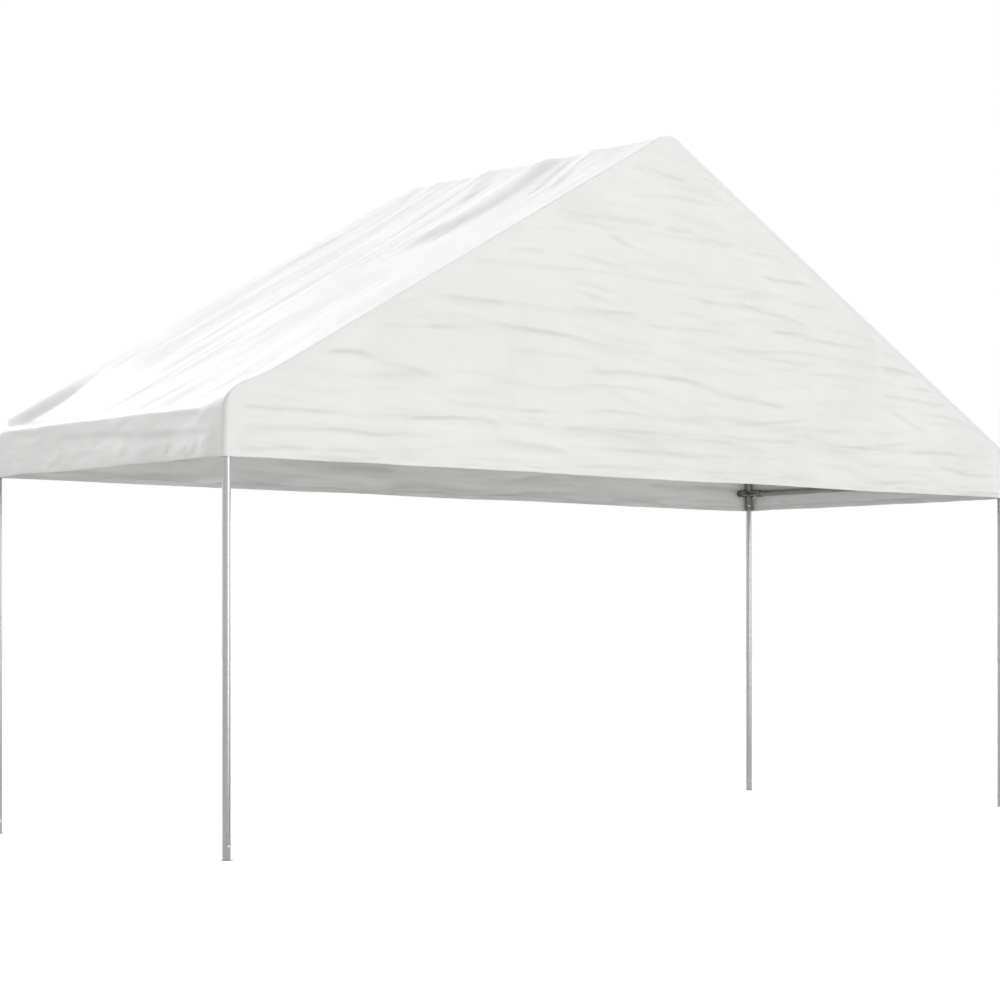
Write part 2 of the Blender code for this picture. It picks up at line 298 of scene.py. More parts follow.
def ringAt(bm, centre, along, radius, sides):
    runsAlongY = abs(along.y) > abs(along.x) + abs(along.z)
    side = Vector((1, 0, 0)) if runsAlongY else Vector((0, 1, 0))
    if abs(along.dot(side)) > 0.9:
        side = upward
    other = along.cross(side).normalized()
    side = other.cross(along).normalized()
    return [bm.verts.new(point) for point in circle(centre, side, other, radius, sides)]


def joinRings(bm, rings):
    # Faces from each ring of vertices to the next
    faces = []
    for first, second in zip(rings, rings[1:]):
        for i in range(len(first)):
            j = (i + 1) % len(first)
            faces.append(bm.faces.new((first[i], first[j], second[j], second[i])))
    return faces


def addLoft(bm, stations, sides=40, closed=False):
    # Skin over rings at (centre, direction, radius); a closed one ends where it starts
    rings = [ringAt(bm, centre, along, radius, sides) for centre, along, radius in stations]
    if closed:
        faces = joinRings(bm, rings + rings[:1])
    else:
        faces = joinRings(bm, rings)
        faces += [bm.faces.new(rings[0][::-1]), bm.faces.new(rings[-1])]
    bmesh.ops.recalc_face_normals(bm, faces=faces)


def addTurned(bm, base, along, profile, sides=40, closed=False):
    # A turned form on an axis, from (distance along it, radius) pairs
    addLoft(bm, [(base + along * far, along, radius) for far, radius in profile], sides, closed)


def addTube(bm, path, radius, bore, sides=40):
    # A hollow tube along (centre, direction) points, with its rims broken by a small bevel
    rim = tubeSizes["rim"]
    start, startDir = path[0]
    end, endDir = path[-1]
    outer = [(start, startDir, radius - rim), (start + startDir * rim, startDir, radius)]
    outer += [(point, along, radius) for point, along in path[1:-1]]
    outer += [(end - endDir * rim, endDir, radius), (end, endDir, radius - rim)]
    inner = [(end, endDir, bore + rim / 2), (end - endDir * rim, endDir, bore)]
    inner += [(point, along, bore) for point, along in path[1:-1][::-1]]
    inner += [(start + startDir * rim, startDir, bore), (start, startDir, bore + rim / 2)]
    addLoft(bm, outer + inner, sides, True)


def addBead(bm, points, radius):
    # A weld bead: a small round section swept round a loop of points, swelling in ripples
    rings = []
    side = None
    for i, point in enumerate(points):
        along = (points[(i + 1) % len(points)] - points[i - 1]).normalized()
        if side is None:
            side = along.orthogonal()
        side = (side - along * side.dot(along)).normalized()
        swell = radius * (1 + 0.14 * math.cos(i * 2.1))
        rings.append([bm.verts.new(spot) for spot in circle(point, side, along.cross(side), swell, 8)])
    # The section may have turned on its way round, so the last ring meets the nearest start
    last, start = rings[-1], rings[0]
    shift = min(range(len(start)), key=lambda n: (last[0].co - start[n].co).length)
    rings.append(start[shift:] + start[:shift])
    bmesh.ops.recalc_face_normals(bm, faces=joinRings(bm, rings))


def addHex(bm, base, along, size, height):
    # A hexagon nut or head, size across its flats
    radius = size / math.sqrt(3)
    edge = 0.0009
    profile = [(0, radius - edge), (edge, radius), (height - edge, radius), (height, radius - edge)]
    addTurned(bm, base, along, profile, 6)


eyeBolt = {
    "nutSize": 0.013,
    "nutHeight": 0.0065,
    "sunk": 0.0012,  # how far the nut goes into the round of its socket
    "shank": 0.0038,
    "threadPitch": 0.00125,
    "reach": 0.0135,
    "ring": 0.0085,
    "wire": 0.003,
}


def addEyeBolt(bm, surface, out, ringAxis):
    # Welded nut on the socket, with a screw in it that is turned by its eye
    spec = eyeBolt
    sunk = spec["sunk"]
    addHex(bm, surface - out * sunk, out, spec["nutSize"], spec["nutHeight"] + sunk)
    step = spec["threadPitch"] / 2
    count = int(spec["reach"] / step) + 1
    screw = [(step * i, spec["shank"] * (1.0 if i % 2 else 0.9)) for i in range(count)]
    addTurned(bm, surface, out, screw, 14)
    eye = surface + out * (spec["reach"] + spec["ring"])
    side = ringAxis.orthogonal().normalized()
    addBead(bm, circle(eye, side, ringAxis.cross(side), spec["ring"], 24), spec["wire"])


def newObject(name, data):
    item = bpy.data.objects.new(name, data)
    bpy.context.scene.collection.objects.link(item)
    return item


def meshObject(name, bm, material):
    mesh = bpy.data.meshes.new(name)
    bm.to_mesh(mesh)
    bm.free()
    mesh.materials.append(material)
    mesh.shade_smooth()
    mesh.set_sharp_from_angle(angle=math.radians(40))
    return newObject(name, mesh)


def handIn(piece, slotName, *nodes):
    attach(piece, "root")
    if nodes:
        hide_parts(*nodes)


def steelPiece(name, bm, material, *nodes):
    handIn(meshObject(name, bm, material), "galvanised_tube", *nodes)


def bendLine(centreX, centreZ, startSlope, endSlope, steps):
    # Points and directions round a bend, as its slope falls from the first to the second
    radius = tentLines["bend"]
    line = []
    for i in range(steps + 1):
        slope = startSlope + (endSlope - startSlope) * i / steps
        point = Vector((centreX - radius * math.sin(slope), 0, centreZ + radius * math.cos(slope)))
        line.append((point, Vector((math.cos(slope), 0, math.sin(slope)))))
    return line


def elbowLine(steps):
    # Over a post, x measured inwards from the post's axis
    radius = tentLines["bend"]
    crossing = tentLines["peakZ"] - tentLines["halfSpan"] * math.tan(tentLines["pitch"])
    centreZ = crossing - radius * math.tan(eaveTurn / 2)
    return bendLine(radius, centreZ, math.pi / 2, tentLines["pitch"], steps)


def peakLine(steps):
    # Over the ridge, from the left rafter to the right one
    centreZ = tentLines["peakZ"] - tentLines["bend"] / math.cos(tentLines["pitch"])
    return bendLine(0, centreZ, tentLines["pitch"], -tentLines["pitch"], steps)


def addSideSocket(bm, origin, branch, run, length):
    # Side socket that starts on the run's axis, open at its far end
    sizes = tubeSizes
    rim = sizes["rim"]
    outer = sizes["socket"]
    bore = sizes["socketBore"]
    profile = [(0, outer), (length - rim, outer), (length, outer - rim)]
    profile += [(length, bore + rim / 2), (length - rim, bore), (sizes["stop"], bore)]
    addTurned(bm, origin, branch, profile)
    # Its weld bead lies on the line where it meets a run of the same radius
    third = branch.cross(run).normalized()
    count = 56
    points = circle(origin, third, run, outer, count)
    outs = [branch * outer * abs(math.sin(2 * math.pi * i / count)) for i in range(count)]
    addBead(bm, [point + out for point, out in zip(points, outs)], sizes["beadRadius"])


def addBoltUnder(bm, axisSpot, along, inY):
    # Eye bolt on a rafter's socket, halfway between its underside and its inner side
    below = along.cross(inY)
    below = below if below.z < 0 else -below
    out = (below + inY).normalized()
    addEyeBolt(bm, axisSpot + out * tubeSizes["socket"], out, along)


def cornerWays(side, end):
    # Where a corner's post stands, and the ways in from it across the gable and along the ridge
    foot = Vector((side * tentLines["halfSpan"], end * tentLines["halfBay"], 0))
    return foot, Vector((-side, 0, 0)), Vector((0, -end, 0))


def onSide(vector, side):
    # Lines are worked out for the left side, where inwards is +X
    return Vector((-side * vector.x, vector.y, vector.z))


connectorParts = {
    "footZ": 1.961,
    "postTopZ": 2.051,
    "postBoltZ": 1.992,
    "stub": 0.092,  # from a post's axis to the end of its plugged socket
    "boltIn": 0.05,  # from where a tube stops to the bolt that holds it
}


def makeEaveConnector(corner, steel, zinc):
    sizes = tubeSizes
    parts = connectorParts
    side, end, node = corners[corner]
    origin, inX, inY = cornerWays(side, end)
    bend = elbowLine(sizes["bendSteps"])
    bend = [(origin + onSide(point, side), onSide(along, side)) for point, along in bend]
    bendEnd, slopeIn = bend[-1]
    reach = sizes["stop"] + sizes["socketDepth"]
    path = [(origin + upward * parts["footZ"], upward), *bend, (bendEnd + slopeIn * reach, slopeIn)]
    axis = origin + upward * tentLines["purlinZ"]
    bm = bmesh.new()
    addTube(bm, path, sizes["socket"], sizes["socketBore"])
    addSideSocket(bm, axis, inY, upward, reach)
    addSideSocket(bm, axis, inX, upward, parts["stub"])
    steelPiece("eaveConnector" + corner, bm, steel, "eave_connector_" + node)

    bolts = bmesh.new()
    inward = (inX + inY).normalized()
    addEyeBolt(bolts, origin + upward * parts["postBoltZ"] + inward * sizes["socket"], inward, upward)
    boltAt = sizes["stop"] + parts["boltIn"]
    addBoltUnder(bolts, bendEnd + slopeIn * boltAt, slopeIn, inY)
    tilt = (inX - upward).normalized()
    addEyeBolt(bolts, axis + inY * boltAt + tilt * sizes["socket"], tilt, inY)
    steelPiece("eaveBolts" + corner, bolts, zinc)


def makeRidgeConnector(name, end, steel, zinc):
    sizes = tubeSizes
    origin = Vector((0, end * tentLines["halfBay"], 0))
    inY = Vector((0, -end, 0))
    bend = [(origin + point, along) for point, along in peakLine(sizes["bendSteps"])]
    first, firstDir = bend[0]
    last, lastDir = bend[-1]
    middle = bend[len(bend) // 2][0]
    reach = sizes["stop"] + sizes["socketDepth"]
    bm = bmesh.new()
    path = [(first - firstDir * reach, firstDir), *bend, (last + lastDir * reach, lastDir)]
    addTube(bm, path, sizes["socket"], sizes["socketBore"])
    addSideSocket(bm, middle, inY, Vector((1, 0, 0)), reach)
    steelPiece("ridgeConnector" + name, bm, steel, "ridge_connector_" + name.lower())

    bolts = bmesh.new()
    boltAt = sizes["stop"] + connectorParts["boltIn"]
    addBoltUnder(bolts, first - firstDir * boltAt, -firstDir, inY)
    addBoltUnder(bolts, last + lastDir * boltAt, lastDir, inY)
    addEyeBolt(bolts, middle + inY * boltAt - upward * sizes["socket"], -upward, inY)
    steelPiece("ridgeBolts" + name, bolts, zinc)


footParts = {
    "plate": 0.037,
    "thickness": 0.003,
    "edge": 0.0007,
    "pegHole": 0.0045,
    "pegHoleAt": 0.0275,
    "spigotTop": 0.103,
    "spigotTaper": 0.004,  # height of its tapered end
    "taperDepth": 0.001,
    "pinZ": 0.066,
    "pinSunk": 0.0006,
    # The pin's washer, head and thread, as (distance out, radius)
    "washer": ((0, 0.008), (0.0012, 0.008), (0.0016, 0.0074)),
    "head": ((0.0012, 0.0062), (0.003, 0.0058), (0.0044, 0.0042), (0.005, 0.002)),
    "thread": ((0.005, 0.0028), (0.0095, 0.0024)),
    "nut": {"from": 0.0014, "size": 0.010, "height": 0.005},
}


def makeFootPlate(corner, steel):
    parts = footParts
    sizes = tubeSizes
    side, end, node = corners[corner]
    foot = cornerWays(side, end)[0]
    edge = parts["edge"]
    thick = parts["thickness"]
    top = parts["spigotTop"]
    profile = [(0, parts["plate"] - edge), (edge, parts["plate"])]
    profile += [(thick - edge, parts["plate"]), (thick, parts["plate"] - edge), (thick, sizes["spigot"])]
    profile.append((top - parts["spigotTaper"], sizes["spigot"]))
    profile.append((top, sizes["spigot"] - parts["taperDepth"]))
    profile += [(top, sizes["spigotBore"]), (thick, sizes["spigotBore"])]
    bm = bmesh.new()
    addTurned(bm, foot, upward, profile, 48)
    plate = meshObject("footPlate" + corner, bm, steel)

    holes = bmesh.new()
    drill = [(-thick, parts["pegHole"]), (2 * thick, parts["pegHole"])]
    for way in (-1, 1):
        addTurned(holes, foot + Vector((way * parts["pegHoleAt"], 0, 0)), upward, drill, 20)
    cutter = meshObject("pegHoles", holes, steel)
    cut = plate.modifiers.new("pegHoles", "BOOLEAN")
    cut.operation = "DIFFERENCE"
    cut.solver = "EXACT"
    cut.object = cutter
    bpy.context.view_layer.update()
    graph = bpy.context.evaluated_depsgraph_get()
    drilled = bpy.data.meshes.new_from_object(plate.evaluated_get(graph))
    plate.modifiers.clear()
    plate.data = drilled
    bpy.data.objects.remove(cutter, do_unlink=True)
    handIn(plate, "galvanised_tube", "foot_plate_" + node)


def makePost(corner, steel, zinc):
    parts = footParts
    sizes = tubeSizes
    side, end, node = corners[corner]
    foot = cornerWays(side, end)[0]
    low = foot + upward * (parts["thickness"] + sizes["gap"])
    high = foot + upward * (connectorParts["postTopZ"] - sizes["gap"])
    post = bmesh.new()
    addTube(post, [(low, upward), (high, upward)], sizes["radius"], sizes["bore"], 48)
    steelPiece("post" + corner, post, steel, "post_" + node)

    # Pin through the post and the foot's spigot, with its head outside and its nut inside
    pin = bmesh.new()
    for way in (-1, 1):
        out = Vector((0, way, 0))
        face = foot + upward * parts["pinZ"] + out * (sizes["radius"] - parts["pinSunk"])
        addTurned(pin, face, out, parts["washer"], 24)
        if way == end:
            addTurned(pin, face, out, parts["head"], 24)
        else:
            nut = parts["nut"]
            addHex(pin, face + out * nut["from"], out, nut["size"], nut["height"])
            addTurned(pin, face, out, parts["thread"], 14)
    steelPiece("footPin" + corner, pin, zinc)


plugParts = {
    "shank": 0.0209,
    "shankLength": 0.02,
    "rim": 0.0035,  # straight part of the cap, then its round
    "round": 0.0045,
    "faceRadius": 0.0125,
    "dish": ((0.008, 0.011), (0.0074, 0.0095), (0.0074, 0.003)),  # (distance out, radius)
}


def makeEndPlug(corner, plastic):
    parts = plugParts
    sizes = tubeSizes
    side, end, node = corners[corner]
    foot, inX = cornerWays(side, end)[:2]
    shank = parts["shank"]
    outer = sizes["socket"]
    profile = [(-parts["shankLength"], shank - 0.0006), (-parts["shankLength"] + 0.002, shank)]
    profile += [(sizes["gap"], shank), (sizes["gap"], outer - 0.0004), (0.001, outer)]
    for i in range(8):
        turn = math.pi / 2 * i / 8
        radius = parts["faceRadius"] + (outer - parts["faceRadius"]) * math.cos(turn)
        profile.append((parts["rim"] + parts["round"] * math.sin(turn), radius))
    base = foot + upward * tentLines["purlinZ"] + inX * connectorParts["stub"]
    bm = bmesh.new()
    addTurned(bm, base, inX, profile + list(parts["dish"]))
    handIn(meshObject("endPlug" + corner, bm, plastic), "black_plastic", "end_plug_" + node)


rafterBolt = {
    "back": 0.045,  # from the joint of the two tubes
    "sunk": 0.0005,
    "size": 0.013,
    "height": 0.0055,
    "thread": ((0.0045, 0.0038), (0.010, 0.0038)),  # (distance out, radius)
}


def makeRafters(corner, steel, zinc):
    sizes = tubeSizes
    side, end, node = corners[corner]
    foot, inX, inY = cornerWays(side, end)
    along = onSide(slopeDir, side)
    stop = sizes["stop"] + sizes["gap"]
    low = foot + onSide(elbowLine(4)[-1][0], side) + along * stop
    high = foot + inX * tentLines["halfSpan"] + onSide(peakLine(4)[0][0], side) - along * stop
    joint = (low + high) / 2
    lower = bmesh.new()
    path = [(low, along), (joint - along * sizes["gap"], along)]
    addTube(lower, path, sizes["radius"], sizes["bore"])
    steelPiece("lowerRafter" + corner, lower, steel, "lower_rafter_" + node)

    # The upper tube is drawn down in a smooth neck where it enters the lower one
    spigot = sizes["spigot"]
    tip = -sizes["spigotLength"]
    top = (high - joint).length
    neck = sizes["radius"] - spigot
    neckLength = neck * 4
    profile = [(tip, spigot - sizes["rim"]), (tip + sizes["rim"], spigot)]
    for share in (0, 0.25, 0.5, 0.75, 1):
        ease = share * share * (3 - 2 * share)
        profile.append((neckLength * share, spigot + neck * ease))
    profile += [(top, sizes["radius"]), (top, sizes["bore"]), (neckLength, sizes["bore"])]
    profile += [(0, sizes["spigotBore"]), (tip, sizes["spigotBore"])]
    upper = bmesh.new()
    addTurned(upper, joint, along, profile, closed=True)
    steelPiece("upperRafter" + corner, upper, steel, "upper_rafter_" + node)

    parts = rafterBolt
    bolt = bmesh.new()
    face = joint - along * parts["back"] + inY * (sizes["radius"] - parts["sunk"])
    addHex(bolt, face, inY, parts["size"], parts["height"])
    addTurned(bolt, face, inY, parts["thread"], 14)
    steelPiece("rafterBolt" + corner, bolt, zinc)


def makePurlins(steel):
    sizes = tubeSizes
    reach = tentLines["halfBay"] - sizes["stop"] - sizes["gap"]
    along = Vector((0, 1, 0))
    span = tentLines["halfSpan"]
    for name, node, x, z in (
        ("ridgePurlin", "ridge_purlin", 0, peakLine(2)[1][0].z),
        ("eavePurlinLeft", "eave_purlin_left", -span, tentLines["purlinZ"]),
        ("eavePurlinRight", "eave_purlin_right", span, tentLines["purlinZ"]),
    ):
        bm = bmesh.new()
        path = [(Vector((x, y, z)), along) for y in (-reach, reach)]
        addTube(bm, path, sizes["radius"], sizes["bore"])
        steelPiece(name, bm, steel, node)


def smoothStep(low, high, value):
    share = np.clip((value - low) / (high - low), 0, 1)
    return share * share * (3 - 2 * share)


def evenRise(low, high, value):
    # From 0 to 1 at an even slope, eased over a share of the way at both ends
    blend = 0.25
    share = np.clip((value - low) / (high - low), 0, 1)
    first = np.minimum(share, blend)
    last = np.maximum(share - 1 + blend, 0)
    return (share - first + (first ** 2 - last ** 2) / (2 * blend)) / (1 - blend)


sheetSeeds = {
    "slope": {-1: 11, 1: 47},
    "eave": {-1: 92, 1: 90},
    "valance": {-1: 71, 1: 83},
    "gable": {-1: 201, 1: 307},
    "gableHem": {-1: 211, 1: 317},
    "gableFolds": 223,
}


def softNoise(across, along, cellAcross, cellAlong, seed):
    # Smooth seeded noise from -1 to 1, with cells of this size. It is moved along, so that no
    # corner of its lattice lies at the middle of the tent
    size = 97
    lattice = np.random.default_rng(seed).uniform(-1, 1, (size, size))
    u = across / cellAcross + 31.7
    v = along / cellAlong + 17.3
    iu = np.floor(u).astype(int)
    iv = np.floor(v).astype(int)
    fu = u - iu
    fv = v - iv
    fu = fu ** 3 * (fu * (fu * 6 - 15) + 10)
    fv = fv ** 3 * (fv * (fv * 6 - 15) + 10)
    near = lattice[iu % size, iv % size] * (1 - fu) + lattice[(iu + 1) % size, iv % size] * fu
    iv += 1
    far = lattice[iu % size, iv % size] * (1 - fu) + lattice[(iu + 1) % size, iv % size] * fu
    return near * (1 - fv) + far * fv


def strokeFields(across, up, stroke, endShare):
    # Signed distance from a stroke of points, and a share that runs out towards its ends
    points = np.array(stroke, float)
    best = np.full(across.shape, 1e9)
    signed = np.zeros(across.shape)
    way = np.zeros(across.shape)
    done = 0.0
    for start, end in zip(points, points[1:]):
        length = float(np.hypot(*(end - start)))
        dirA, dirU = (end - start) / length
        relA = across - start[0]
        relU = up - start[1]
        along = np.clip(relA * dirA + relU * dirU, 0, length)
        distance = np.hypot(relA - along * dirA, relU - along * dirU)
        left = np.sign(relU * dirA - relA * dirU)
        nearer = distance < best
        best = np.where(nearer, distance, best)
        signed = np.where(nearer, left * distance, signed)
        way = np.where(nearer, done + along, way)
        done += length
    way /= done
    return signed, smoothStep(0, endShare, way) * smoothStep(0, endShare, 1 - way)


def foldStep(across, up, stroke, depth, width, reach, endShare=0.2):
    # A fold: the sheet steps by depth across a width, and eases back over the reach
    signed, taper = strokeFields(across, up, stroke, endShare)
    return taper * depth * np.tanh(signed / width) * np.exp(-np.abs(signed) / reach)


def foldShade(across, up, stroke, width, endShare):
    signed, taper = strokeFields(across, up, stroke, endShare)
    return taper * np.exp(-((signed / width) ** 2))


def gridNormals(points, outward):
    # Normals of a grid of points, turned so that the one in its middle faces outward
    normals = np.cross(np.gradient(points, axis=1), np.gradient(points, axis=0))
    normals /= np.maximum(np.linalg.norm(normals, axis=2, keepdims=True), 1e-12)
    rows, columns = points.shape[:2]
    return normals * np.sign(normals[rows // 2, columns // 2].dot(outward))


def gridObject(name, points, material, shade, thickness, flip):
    rows, columns = points.shape[:2]
    index = np.arange(rows * columns).reshape(rows, columns)
    cells = [index[:-1, :-1], index[:-1, 1:], index[1:, 1:], index[1:, :-1]]
    quads = np.stack(cells, axis=2).reshape(-1, 4)
    if flip:
        quads = quads[:, ::-1]
    mesh = bpy.data.meshes.new(name)
    mesh.from_pydata(points.reshape(-1, 3).tolist(), [], quads.tolist())
    bm = bmesh.new()
    bm.from_mesh(mesh)
    for edge in bm.edges:
        edge.smooth = not edge.is_boundary
    bm.to_mesh(mesh)
    bm.free()
    # How much painted shade each point's colour takes in the creases
    layer = mesh.attributes.new("creaseShade", "FLOAT", "POINT")
    layer.data.foreach_set("value", np.clip(shade, 0, 1).astype(np.float32).ravel())
    mesh.materials.append(material)
    mesh.polygons.foreach_set("use_smooth", [True] * len(mesh.polygons))
    piece = newObject(name, mesh)
    thick = piece.modifiers.new("thickness", "SOLIDIFY")
    thick.thickness = thickness
    thick.offset = -1
    return piece


def spaced(stops):
    # Values from first to last, each stretch cut into steps of about its own size
    values = [stops[0][0]]
    for (start, step), (end, _) in zip(stops, stops[1:]):
        count = max(1, round((end - start) / step))
        values += [start + (end - start) * (i + 1) / count for i in range(count)]
    return np.array(values)


coverShape = {
    "faceX": 2.968,  # outside of the side valances
    "lineZ": 3.900,  # where the two slopes' outer planes would meet
    "ridgeZ": 3.8784,
    "crown": 0.148,  # radius over the ridge
    "edgeY": 1.1459,  # outside of the seam over a gable
    "rakeRound": 0.005,
    "cornerRound": 0.028,  # down the upright edge at a post
    "flap": 0.018,  # how far the cover runs down over the gable sheet
    "hemFlap": 0.0015,  # the same at the hem
    "thickness": 0.0009,
    "hemFold": 0.03,
    "hemRound": 0.0016,
    "bayRound": 0.03,  # of the eave between two fittings
    "slopeSag": 0.012,
    "backSag": 0.012,  # how much lower the bay lies than the back rafters hold it
    "eaveDrop": 0.022,  # between the fittings
    "valance": 0.277,  # height of a side valance
    "hemFlare": 0.0072,
    # Where a shoulder bulges most, above the eave line, and how far that runs down and up
    "bulgeAt": 0.105,
    "bulgeDown": 0.10,
    "bulgeUp": 0.13,
}
slopeLength = coverShape["faceX"] / math.cos(tentLines["pitch"])  # from the eave line to the ridge

# How round each corner's shoulder is, how far it bulges over its fitting, how far from the middle
# it starts and the eave starts to rise to it, and how deep the hollow beside it is
shoulderShape = {
    (-1, -1): {"round": 0.08, "bulge": 0.025, "near": 0.62, "rise": 0.93, "hollow": 0.0},
    (-1, 1): {"round": 0.15, "bulge": 0.0, "near": 0.95, "rise": 0.95, "hollow": 0.030},
    (1, -1): {"round": 0.15, "bulge": 0.0, "near": 0.62, "rise": 0.90, "hollow": 0.0},
    (1, 1): {"round": 0.10, "bulge": 0.012, "near": 0.62, "rise": 0.92, "hollow": 0.02},
}

# Folds down the left slope: points are (y, distance down from the ridge), then depth, width, reach
leftSlopeFolds = (
    (((-0.22, -0.35), (-0.26, 0.1), (-0.31, 0.3), (-0.35, 0.5), (-0.36, 0.7), (-0.32, 0.9), (-0.24, 1.05),
      (-0.14, 1.22), (-0.05, 1.38)), -0.029, 0.085, 0.35),
    (((-0.34, -0.1), (-0.43, 0.2), (-0.52, 0.42), (-0.63, 0.72)), -0.006, 0.014, 0.07),
    (((-0.47, -0.1), (-0.6, 0.25), (-0.7, 0.48), (-0.83, 0.74)), -0.006, 0.014, 0.07),
    (((-0.74, -0.05), (-0.82, 0.15), (-0.92, 0.36)), -0.005, 0.014, 0.07),
    (((0.36, -0.1), (0.24, 0.18), (0.11, 0.42), (0.0, 0.66)), -0.01, 0.045, 0.15),
    (((1.06, 0.02), (0.96, 0.22), (0.84, 0.46)), -0.007, 0.035, 0.12),
    (((-0.42, 1.9), (-0.22, 2.3), (0.0, 2.8), (0.12, 3.2)), -0.0065, 0.085, 0.25),
    (((0.38, 1.75), (0.46, 2.1), (0.42, 2.5)), -0.004, 0.03, 0.1),
)
rightSlopeFolds = (
    (((0.3, 0.05), (0.42, 0.5), (0.36, 1.0), (0.2, 1.4)), 0.011, 0.022, 0.16),
    (((-0.6, 0.1), (-0.52, 0.5), (-0.55, 0.9)), 0.006, 0.018, 0.09),
    (((0.7, 0.1), (0.8, 0.5)), 0.005, 0.016, 0.08),
    (((-0.2, 1.6), (-0.3, 2.4)), 0.005, 0.024, 0.1),
    (((0.5, 2.3), (0.42, 3.0)), 0.004, 0.025, 0.1),
)

# How far the ridge stands above its line, at each y
ridgeWaves = (
    (-1.15, 0.0), (-1.10, 0.001), (-0.90, -0.004), (-0.73, -0.003), (-0.52, 0.009), (-0.45, -0.004),
    (-0.23, 0.001), (-0.14, 0.009), (-0.01, -0.005), (0.08, -0.002), (0.30, 0.008), (0.42, 0.012),
    (0.52, -0.005), (0.69, -0.001), (0.91, 0.008), (1.01, 0.002), (1.10, 0.002), (1.15, 0.0),
)

# Creases in a side valance as (y, z) points, then depth, width, reach
valanceFolds = (
    (((-0.78, 2.09), (-0.54, 2.091), (-0.19, 2.116), (0.18, 2.131), (0.56, 2.138)), 0.0042, 0.014, 0.05),
    (((-1.04, 2.086), (-0.68, 2.094), (-0.44, 2.112)), 0.0026, 0.01, 0.035),
    (((-0.84, 2.035), (-0.8, 2.0), (-0.71, 1.962)), 0.0028, 0.011, 0.05),
    (((-0.93, 2.055), (-0.88, 1.989), (-0.77, 1.95)), 0.0028, 0.011, 0.05),
    (((-0.985, 2.06), (-0.975, 2.005), (-1.01, 1.955)), 0.0022, 0.009, 0.04),
    (((-0.655, 2.05), (-0.625, 1.99)), 0.002, 0.009, 0.04),
    (((0.4, 2.07), (0.52, 2.015), (0.59, 1.955)), -0.002, 0.014, 0.05),
    (((0.38, 2.014), (0.54, 1.988)), 0.0024, 0.01, 0.04),
    (((0.5, 2.166), (0.85, 2.187), (1.06, 2.19)), 0.0036, 0.014, 0.05),
    (((-0.55, 2.011), (-0.38, 2.01)), 0.002, 0.008, 0.03),
    (((-0.3, 2.18), (-0.05, 2.165), (0.25, 2.17)), 0.0022, 0.012, 0.04),
    (((0.05, 2.05), (0.2, 2.03), (0.34, 2.035)), 0.002, 0.01, 0.04),
)


def shoulderValue(key, y, side):
    return np.where(y < 0, shoulderShape[(side, -1)][key], shoulderShape[(side, 1)][key])


def sectionPoint(t, y, side):
    # Outside of the cover over one side, and the way out from it, as x, z, outX, outZ.
    # The distance t runs up the slope from the eave line, and is negative on the valance
    shape = coverShape
    pitch = tentLines["pitch"]
    frontShare = smoothStep(-0.9, 0.9, -y)
    front = shoulderShape[(side, -1)]
    back = shoulderShape[(side, 1)]
    cornerRound = front["round"] * frontShare + back["round"] * (1 - frontShare)
    cornerBulge = front["bulge"] * frontShare + back["bulge"] * (1 - frontShare)
    near = smoothStep(shoulderValue("near", y, side), 1.11, np.abs(y))
    radius = cornerRound * near + shape["bayRound"] * (1 - near)
    tangent = radius * math.tan(eaveTurn / 2)
    eaveZ = shape["lineZ"] - math.tan(pitch) * shape["faceX"]
    turn = np.clip((t + tangent) / (2 * tangent), 0, 1) * eaveTurn
    low = t < -tangent
    high = t > tangent
    arcX = -shape["faceX"] + radius * (1 - np.cos(turn))
    arcZ = eaveZ - tangent + radius * np.sin(turn)
    x = np.where(low, -shape["faceX"], np.where(high, -shape["faceX"] + t * math.cos(pitch), arcX))
    z = np.where(low, eaveZ + t, np.where(high, eaveZ + t * math.sin(pitch), arcZ))
    # Over the ridge both slopes ease into one crown
    crown = shape["crown"]
    nearRidge = high & (np.abs(x) < crown * math.sin(pitch))
    z = np.where(nearRidge, shape["ridgeZ"] - crown + np.sqrt(np.maximum(crown ** 2 - x ** 2, 0)), z)
    turn = np.where(nearRidge, math.pi / 2 - np.arcsin(np.clip(-x / crown, -1, 1)), turn)
    outX = -np.cos(turn)
    outZ = np.sin(turn)
    above = t - shape["bulgeAt"]
    width = np.where(above < 0, shape["bulgeDown"], shape["bulgeUp"])
    swell = cornerBulge * (0.2 + 0.8 * near) * smoothStep(-0.04, 0.03, t)
    swell = swell * np.exp(-((above / width) ** 2))
    return x + outX * swell, z + outZ * swell, outX, outZ


# Ripples down a slope: height, slant, then the size of a cell along the ridge and down
slopeRipples = ((0.0026, 0.0, 0.10, 1.3), (0.0017, 0.06, 0.055, 0.7), (0.0007, -0.1, 0.03, 0.35))


def slopeRelief(y, down, side):
    # How far the folds and ripples of a slope stand off it, at this distance down from the ridge
    seed = sheetSeeds["slope"][side]
    inside = tentLines["halfBay"] - np.abs(y)
    ripples = np.zeros(y.shape)
    for i, (height, slant, cellY, cellDown) in enumerate(slopeRipples):
        ripples += height * softNoise(y + slant * down, down, cellY, cellDown, seed + i)
    ripples *= 1 + 1.35 * np.exp(-down / 0.40)
    relief = ripples + 0.005 * softNoise(y + 0.2 * down, down, 0.42, 1.0, seed + 3)
    relief *= smoothStep(0, 0.12, inside) * smoothStep(0, 0.15, down)
    folds = leftSlopeFolds if side < 0 else rightSlopeFolds
    creaseShaded = sum(foldStep(y, down, *fold) for fold in folds)
    return relief + creaseShaded * smoothStep(0, 0.10, inside) * smoothStep(0.02, 0.20, down)


